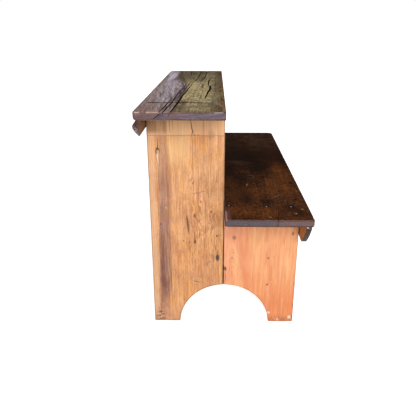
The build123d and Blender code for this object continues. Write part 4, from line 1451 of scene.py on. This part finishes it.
# ------------------------------------------------------------------ rails and battens
def rail_material(finish, name, seed, inner, heart, warmth, ends, split, flecks):
    """Dark brown stain, rubbed on the arrises, warmer on the inner face, with painted shade on the inner face
    beside the end boards and along its edges.

    The end grain goes from the first to the second colour of ends over the heights in split.
    Flecks on the left-hand end are (y, z, half width, half height, colour, strength).
    """
    wood = Wood(name, "YZX", heart, (0, 0.01, 0), 5, 2.6, seed)
    w, across, along, tint, wash = wood.tools
    mottle, blotch, specks = wood.dirt(45, 6, 0.25)
    wood.colour = w.mix(w.ease(mottle, 0.35, 0.65), paint(finish.rail_stain, 0.62),
                        paint(finish.rail_stain, 1.15))
    wash(wood.streak, 0.5, 0.7, (60, 38, 29), 0.5)
    wash(blotch, 0.55, 0.7, (138, 90, 58), 0.3)
    wash(wood.fibre, 0.5, 0.66, (52, 33, 26), 0.5)
    wash(wood.fibre, 0.46, 0.34, (140, 98, 70), 0.3)
    within = w.ease(w.times(w.minus(wood.through, inner[0]), inner[1]), 0, 3)
    tint(within, warmth, 0.72)
    tint((within, w.ease(wood.streak, 0.46, 0.6)), (96, 62, 44), 0.4)
    # painted shade on the inner face: darker beside the end board and along the face's edges
    beside = w.minus(w.math("ABSOLUTE", along), END_FACE)
    tint((within, w.ease(beside, 26, 8)), (40, 22, 18), 0.85)
    tint((within, w.ease(wood.edge, 3.6, 0.8)), (60, 34, 26), 0.6)
    tint(wood.late, (50, 30, 22), 0.5)
    tint(wood.threads, (30, 20, 16), 0.6)
    tint(specks, (34, 24, 20), 0.5)
    rubbed = wood.rubbed(1.2 * finish.wear, 0.5)
    tint(rubbed, (128, 88, 66), 0.45)
    pores = wood.cloud((1.2, 0.7, 1), 0.24, 5, 0.75)
    end_tone = w.mix(w.ease(across, *split), *ends)
    end_tone = w.mix(w.ease(pores, 0.44, 0.58), end_tone, (40, 28, 25))
    tint(wood.end, end_tone)
    rim = w.times(wood.end, w.ease(w.plus(wood.edge, w.times(pores, 3)), 4.2, 1.8))
    tint(rim, (46, 36, 34), 0.6)
    shown = w.times(wood.end, w.math("LESS_THAN", along, 0))
    for y, z, wide, tall, colour, strength in flecks:
        spot = wood.oval(w.stretched(wood.at, (0, 1, 1)), (0, y, z), (1, wide, tall), 0.5)
        tint((spot, shown), colour, strength)
    wood.dig((wood.late, 0.12), (wood.fibre, 0.14), (pores, 0.12))
    return wood.finish(w.ease(blotch, 0.3, 0.7, 0.42, 0.62), bump=0.5, specular=0.08, coat=0.02)


def sweep(x, half, run, end_z, bottom_z, radius):
    """Lower edge of a rail at x: level in the middle, then an arc of the given radius up to the plumb end.

    The arc joins (half - run, bottom) to (half, end) and bulges outwards. Its centre is on
    the chord's upper side, at sqrt(radius^2 - (chord / 2)^2) from the chord's middle.
    """
    p, q = np.array([half - run, bottom_z]), np.array([half, end_z])
    chord = q - p
    length = np.hypot(*chord)
    inward = np.array([-chord[1], chord[0]]) / length
    centre = (p + q) / 2 + inward * math.sqrt(radius**2 - (length / 2) ** 2)
    bottom = centre[1] - np.sqrt(np.maximum(radius**2 - (np.abs(x) - centre[0]) ** 2, 0.0))
    return np.where(np.abs(x) > half - run, bottom, bottom_z)


def rail(context, node, run, end_height, radius, outward, bevels, seed, material):
    """A rail: columns of the grid stand from the swept lower edge to the level top.

    The bevels are (upper width, upper drop, lower width, lower rise). A point at height z keeps
    k = 1 - (upper width u + lower width v) / thickness of its distance from the inner face,
    where u and v grow evenly from 0 to 1 over each bevel's height, with soft turns.
    """
    low, high = span(node)
    step = sizes_of(context).grid / MM * (1.3 if bevels is None else 0.6)
    thickness, half = high[1] - low[1], (high[1] - low[1]) / 2
    corner = np.linspace(high[0] - run - 4, high[0] - 6, 34)
    along = np.unique(np.concatenate([steps(low[0], high[0], 7.0), corner, -corner]))
    along = along[np.concatenate([[True], np.diff(along) > 0.3])]
    bottom = sweep(along, high[0], run, high[2] - end_height, low[2], radius)
    t = steps(0.0, high[2] - low[2], step) / (high[2] - low[2])
    b = bottom[:, None] + (high[2] - bottom)[:, None] * t[None, :]
    a = np.repeat(along[:, None], b.shape[1], axis=1)
    for corner, way in (((low[0], high[2]), (-1, 1)), ((high[0], high[2]), (1, 1)),
                        ((low[0], high[2] - end_height), (-1, -1)),
                        ((high[0], high[2] - end_height), (1, -1))):
        a, b = rounded_corner(a, b, corner, way, 2.0)
    front = worn(1.6, 0.4, seed, [(low[0], low[2] + 30, 1.2, 9), (-200, low[2], 1.0, 14)])
    back = worn(1.2, 0.3, seed + 1)
    relief = planed(context, seed)
    points, quads, fields, info = board_surface(a, b, thickness, front, back, relief, np.zeros(a.shape), seed)

    def rim(p, q):
        under = q - sweep(p, high[0], run, high[2] - end_height, low[2], radius)
        near = np.minimum(np.minimum(high[2] - q, under), np.minimum(p - low[0], high[0] - p))
        for turn in () if bevels is None else (high[2] - bevels[1], low[2] + bevels[3]):
            near = np.minimum(near, np.abs(q - turn) + 1.2)
        return near

    def soft(s):
        return 0.5 * (s + np.sqrt(s * s + 0.004))

    if bevels is not None:
        u = soft((points[:, 1] - high[2] + bevels[1]) / bevels[1])
        v = soft((low[2] + bevels[3] - points[:, 1]) / bevels[3])
        keep = 1 - (bevels[0] * u + bevels[2] * v) / thickness
        points[:, 2] = (points[:, 2] + half) * keep - half
    add_rims(fields, info, rim)
    points = np.stack([points[:, 0], (low[1] + high[1]) / 2 + outward * points[:, 2], points[:, 1]], -1)
    return make_piece(node + "_board", points, quads, fields, material, [node])


class BENCH_OT_rails(bpy.types.Operator):
    """Adds the two rails with their swept ends"""

    bl_idname = "bench.rails"
    bl_label = "Rails"

    def execute(self, context):
        finish = finish_of(context)
        rear = rail_material(finish, "rail stain, rear", 31.0, (241.0, -1), (262.0, 560.0, 0.0),
                             (170, 132, 106), ((158, 142, 142), (92, 68, 62)), (698.0, 714.0), ())
        rail(context, "rear_rail", 20.0, 24.0, 60.0, 1, (11.0, 15.0, 14.5, 25.0), 71, rear)
        front = rail_material(finish, "rail stain, front", 63.0, (-241.0, 1), (-255.0, 250.0, 0.0),
                              (232, 156, 94), ((84, 60, 50), (100, 78, 70)), (400.0, 408.0),
                              ((-240.8, 407.5, 2.6, 2.8, (240, 224, 216), 0.95),
                               (-247.0, 404.0, 3.0, 2.0, (150, 140, 140), 0.6),
                               # the black sliver is a painted shadow under a small step at the top of the end
                               (-246.5, 397.5, 7.0, 1.7, (14, 10, 10), 0.9)))
        rail(context, "front_rail", 71.0, 19.0, 300.0, -1, None, 81, front)
        return {"FINISHED"}


def batten_material(name, seed, heart):
    """Unfinished pine, browned with age and water-marked."""
    wood = Wood(name, "XZY", heart, (0.02, 0.03, 0), 6, 4, seed)
    w, _, _, tint, wash = wood.tools
    mottle, blotch, specks = wood.dirt(70, 8, 0.2)
    wood.colour = w.mix(w.ease(mottle, 0.35, 0.65), (186, 138, 92), (142, 98, 62))
    wash(wood.streak, 0.5, 0.7, (120, 80, 50), 0.5)
    tint(wood.late, (112, 70, 42), 0.55)
    tint(specks, (80, 56, 40), 0.5)
    wood.ovals(wood.warped(9, 4), [(300, 60, 6, 9, 0.4, (86, 54, 36), 0.85, -0.4),
                                   (262, -120, 4, 6, 0.4, (90, 58, 38), 0.8, -0.3)])
    rubbed = wood.rubbed(1, 0.5)
    tint(rubbed, (96, 64, 42), 0.5)
    tint((wood.end, wood.wall), (104, 72, 50), 0.7)
    wood.dig((wood.late, 0.14), (wood.fibre, 0.22))
    return wood.finish(w.ease(blotch, 0.3, 0.7, 0.6, 0.8), bump=0.6, specular=0.2)


class BENCH_OT_battens(bpy.types.Operator):
    """Adds the batten across the inside of each end"""

    bl_idname = "bench.battens"
    bl_label = "End Battens"

    def execute(self, context):
        for side, inward, seed in (("left", 1, 91), ("right", -1, 97)):
            node = side + "_end_batten"
            low, high = span(node)
            along = steps(low[1], high[1], 4.0)
            across = steps(low[2], high[2], 3.4)
            a, b = np.meshgrid(along, across, indexing="ij")
            for corner, way in (((low[1], low[2]), (-1, -1)), ((low[1], high[2]), (-1, 1)),
                                ((high[1], low[2]), (1, -1)), ((high[1], high[2]), (1, 1))):
                a, b = rounded_corner(a, b, corner, way, 4.5)
            points, quads, fields, info = board_surface(a, b, high[0] - low[0], worn(4.0, 0.12, seed),
                                                        worn(0.8, 0.2, seed + 1),
                                                        hand_planed(seed, (), 0.22), np.zeros(a.shape), seed)
            add_rims(fields, info, lambda p, q: shelf_rim(p, q, low[1:], high[1:]))
            middle = (low[0] + high[0]) / 2
            points = np.stack([middle + inward * points[:, 2], points[:, 0], points[:, 1]], -1)
            material = batten_material("bare pine, " + side, float(seed), (middle + 20.0, 282.0, 0.0))
            make_piece(node + "_board", points, quads, fields, material, [node])
        return {"FINISHED"}


# ------------------------------------------------------------------ nails
def nail_surface(length, seed):
    """A cut nail with its head at z = 0 and its shank down -z.

    Rings of 20 points follow a rounded rectangle, the superellipse |x / w|^4 + |y / d|^4 = 1,
    and the half sizes w and d at each height come from a list of the nail's profile.
    """
    rng = np.random.default_rng(seed)
    profile = np.array([
        (0.02, 0.02, 0.0), (1.2, 0.8, -0.02), (2.3, 1.45, -0.10), (3.0, 1.95, -0.26), (3.42, 2.18, -0.55),
        (3.5, 2.25, -1.0), (3.45, 2.2, -1.5), (2.4, 1.7, -1.75), (1.8, 1.4, -2.4), (1.7, 1.4, -length * 0.4),
        (1.2, 1.4, -length * 0.75), (0.8, 1.3, -length + 0.4), (0.02, 0.02, -length)])
    angle = np.linspace(0, 2 * math.pi, 20, endpoint=False)
    c, s = np.cos(angle), np.sin(angle)
    x = np.sign(c) * np.abs(c) ** 0.5
    y = np.sign(s) * np.abs(s) ** 0.5
    bruise = 1 + 0.06 * ripple(angle[None, :] * 1.3, np.arange(len(profile))[:, None] * 0.7,
                               int(rng.integers(9999)), 2)
    points = np.stack([profile[:, 0][:, None] * x * bruise, profile[:, 1][:, None] * y * bruise,
                       np.repeat(profile[:, 2][:, None], 20, axis=1)], -1).reshape(-1, 3)
    order = np.arange(len(points)).reshape(len(profile), 20)
    quads = np.stack([order[:-1], order[1:], np.roll(order[1:], -1, axis=1),
                      np.roll(order[:-1], -1, axis=1)], -1)
    return points, quads.reshape(-1, 4)


def iron_material():
    """Darkened wrought iron with brown rust, rougher where it has rusted."""
    material, w, shader = surface("nail iron")
    at = w.scaled(w.node("ShaderNodeTexCoord").outputs["Object"], 1000.0)
    dirt = w.placed(effects()["grime"], Vector=at, Blotch_Size=9.0, Speck_Size=1.4, Speck_Share=0.4)
    rust = w.ease(dirt["Blotch"], 0.42, 0.62)
    colour = w.mix(rust, (66, 60, 60), (84, 54, 40))
    colour = w.mix(w.times(dirt["Specks"], 0.6), colour, (36, 28, 26))
    relief = w.node("ShaderNodeBump", {"Strength": 0.6, "Distance": MM,
                                       "Height": w.times(dirt["Blotch"], 0.2)})
    for key, value in (("Base Color", colour), ("Metallic", w.ease(rust, 0.0, 1.0, 0.75, 0.1)),
                       ("Roughness", w.ease(rust, 0.0, 1.0, 0.42, 0.8)), ("Normal", relief.outputs[0])):
        w.feed(value, shader.inputs[key])
    return material


def nail_places():
    """Head centres (x, y, z), way out of the wood, and length, for each group of nails.

    Places across an end are insets from the rear edge of its tall or its short board.
    """
    tall, short = span("left_tall_end_board")[1][1], span("left_short_end_board")[1][1]
    rear, front = span("rear_rail")[1][1], span("front_rail")[0][1]
    upper_top, lower_top = 750.0, 446.0
    high_row, low_row = 323.0, 246.0
    sides = (-1, 1)
    upper = [((s * END_MIDDLE, tall - i, upper_top), (0, 0, 1)) for s in sides for i in (49.5, 127.25, 205.0)]
    lower = [((s * END_MIDDLE, short - i, lower_top), (0, 0, 1)) for s in sides for i in (13.0, 120.0, 192.0)]
    back = [((s * END_MIDDLE + d, rear, 708.5), (0, 1, 0)) for s in sides for d in (-5.5, 5.5)]
    fore = [((s * END_MIDDLE, front, 424.0 - d), (0, -1, 0)) for s in sides for d in (50.0, 80.0)]
    rows = [(tall, high_row, (60.0, 142.0, 212.0)), (tall, low_row, (64.0, 214.0)),
            (short, high_row, (32.0, 224.0)), (short, low_row, (28.0, 148.0))]
    batten = [((s * END_FACE, y - i, z), (s, 0, 0)) for s in sides for y, z, insets in rows for i in insets]
    return {"upper_shelf_nails": (upper, 63.0), "lower_shelf_nails": (lower, 63.0),
            "rear_rail_nails": (back, 57.0), "front_rail_nails": (fore, 57.0),
            "batten_nails": (batten, 38.0)}


class BENCH_OT_nails(bpy.types.Operator):
    """Adds the five groups of cut nails, their heads about flush with the wood"""

    bl_idname = "bench.nails"
    bl_label = "Cut Nails"

    def execute(self, context):
        iron = iron_material()
        rng = np.random.default_rng(7)
        for node, (places, length) in nail_places().items():
            points, quads = [], []
            for k, (head, out) in enumerate(places):
                p, q = nail_surface(length - 0.6, 100 + k)
                turn = rng.uniform(-0.25, 0.25)
                out = np.array(out, float)
                side = np.array([1.0, 0, 0]) if abs(out[2]) > 0 else np.array([0, 0, 1.0])
                third = np.cross(out, side)
                first = math.cos(turn) * side + math.sin(turn) * third
                second = np.cross(out, first)
                sunk = 0.18 + rng.uniform(0.0, 0.12)
                moved = p[:, :1] * first + p[:, 1:2] * second + (p[:, 2:] - sunk) * out + np.array(head)
                quads.append(q + k * len(p))
                points.append(moved)
            points, quads = np.concatenate(points), np.concatenate(quads)
            make_piece(node.replace("_nails", "_cut_nails"), points, quads, {}, iron, [node])
        return {"FINISHED"}


# ------------------------------------------------------------------ stage
def seen_directly(w):
    """1 for what the camera sees straight, in a reflection or through glass, and else 0."""
    path = w.node("ShaderNodeLightPath").outputs
    return w.most(path["Is Camera Ray"], w.most(path["Is Glossy Ray"], path["Is Transmission Ray"]))


LAMPS = [  # name, place, target, width, height, power
    ("key", (-3.4, -0.4, 1.95), (-0.3, 0.0, 0.4), 1.6, 1.3, 62.0),
    ("overhead", (-0.2, 0.1, 3.2), (0.0, 0.0, 0.4), 2.4, 2.4, 26.0),
    ("fill right", (0.6, -3.4, 1.6), (0.0, 0.0, 0.4), 2.0, 1.6, 26.0),
    ("fill rear", (1.4, 3.2, 1.6), (0.0, 0.0, 0.4), 2.0, 1.6, 26.0),
]
SENSOR = 36.0
FOCAL, VIEW_WIDTH = 475.05, 416.0  # focal length and width of the view, in one unit
EYE, LOOK = (-1.8263, 0.03085, 0.9670), (0.93183, 0.01532, -0.36261)


def aimed(scene, name, data, place, way):
    """Links a lamp or a camera that stands at a place and looks along a way."""
    thing = bpy.data.objects.new(name, data)
    scene.collection.objects.link(thing)
    thing.location = place
    thing.rotation_mode = "QUATERNION"
    thing.rotation_quaternion = Vector(way).to_track_quat("-Z", "Y")
    return thing


class BENCH_OT_stage(bpy.types.Operator):
    """Adds the pale floor, the world, the lamps and the camera"""

    bl_idname = "bench.stage"
    bl_label = "Stage"

    def execute(self, context):
        scene = context.scene
        scene.view_settings.view_transform = "Standard"
        size = 14.0
        mesh = bpy.data.meshes.new("floor")
        mesh.from_pydata([(-size, -size, 0), (size, -size, 0), (size, size, 0), (-size, size, 0)], [],
                         [(0, 1, 2, 3)])
        floor = bpy.data.objects.new("floor", mesh)
        scene.collection.objects.link(floor)
        material = bpy.data.materials.new("pale floor")
        w = blank(material)
        diffuse = w.node("ShaderNodeBsdfDiffuse", {"Color": (0.82, 0.82, 0.82, 1.0)})
        far = w.vector("LENGTH", w.node("ShaderNodeTexCoord").outputs["Object"])
        level = w.times(seen_directly(w), w.ease(far, 1.6, 5.0, 0.6, 1.0))
        glow = w.node("ShaderNodeEmission", {"Color": (1, 1, 1, 1), "Strength": level})
        both = w.node("ShaderNodeAddShader", {0: diffuse.outputs[0], 1: glow.outputs[0]})
        w.node("ShaderNodeOutputMaterial", {0: both.outputs[0]})
        mesh.materials.append(material)

        world = bpy.data.worlds.new("studio")
        scene.world = world
        w = blank(world)
        level = w.plus(w.times(seen_directly(w), 0.5), 0.5)
        background = w.node("ShaderNodeBackground", {"Color": (1, 1, 1, 1), "Strength": level})
        w.node("ShaderNodeOutputWorld", {0: background.outputs[0]})

        for name, place, target, width, height, power in LAMPS:
            data = bpy.data.lights.new(name, "AREA")
            data.shape, data.size, data.size_y, data.energy = "RECTANGLE", width, height, power
            aimed(scene, name, data, place, np.subtract(target, place))

        data = bpy.data.cameras.new("camera")
        data.sensor_width = SENSOR
        data.lens = SENSOR * FOCAL / VIEW_WIDTH
        data.clip_start, data.clip_end = 0.05, 60.0
        scene.camera = aimed(scene, "camera", data, EYE, LOOK)
        return {"FINISHED"}


class BENCH_PT_panel(bpy.types.Panel):
    """Lists the bench's pieces, sizes and colours"""

    bl_idname = "BENCH_PT_panel"
    bl_label = "Bucket Bench"
    bl_space_type = "VIEW_3D"
    bl_region_type = "UI"
    bl_category = "Bench"

    def draw(self, context):
        column = self.layout.column(align=True)
        for made in OPERATORS:
            column.operator(made.bl_idname)
        for group in (context.scene.bench_sizes, context.scene.bench_finish):
            column = self.layout.column(align=True)
            for key in group.bl_rna.properties.keys():
                if key not in ("rna_type", "name"):
                    column.prop(group, key)


OPERATORS = (BENCH_OT_upper_shelf, BENCH_OT_lower_shelf, BENCH_OT_end_boards, BENCH_OT_rails,
             BENCH_OT_battens, BENCH_OT_nails, BENCH_OT_stage)
CLASSES = (BenchFinish, BenchSizes, *OPERATORS, BENCH_PT_panel)


def register():
    for made in CLASSES:
        bpy.utils.register_class(made)
    bpy.types.Scene.bench_finish = bpy.props.PointerProperty(type=BenchFinish)
    bpy.types.Scene.bench_sizes = bpy.props.PointerProperty(type=BenchSizes)


def unregister():
    del bpy.types.Scene.bench_sizes
    del bpy.types.Scene.bench_finish
    for made in reversed(CLASSES):
        bpy.utils.unregister_class(made)


def main():
    register()
    bpy.ops.bench.upper_shelf()
    bpy.ops.bench.lower_shelf()
    bpy.ops.bench.end_boards()
    bpy.ops.bench.rails()
    bpy.ops.bench.battens()
    bpy.ops.bench.nails()
    bpy.ops.bench.stage()


if __name__ == "__main__":
    main()
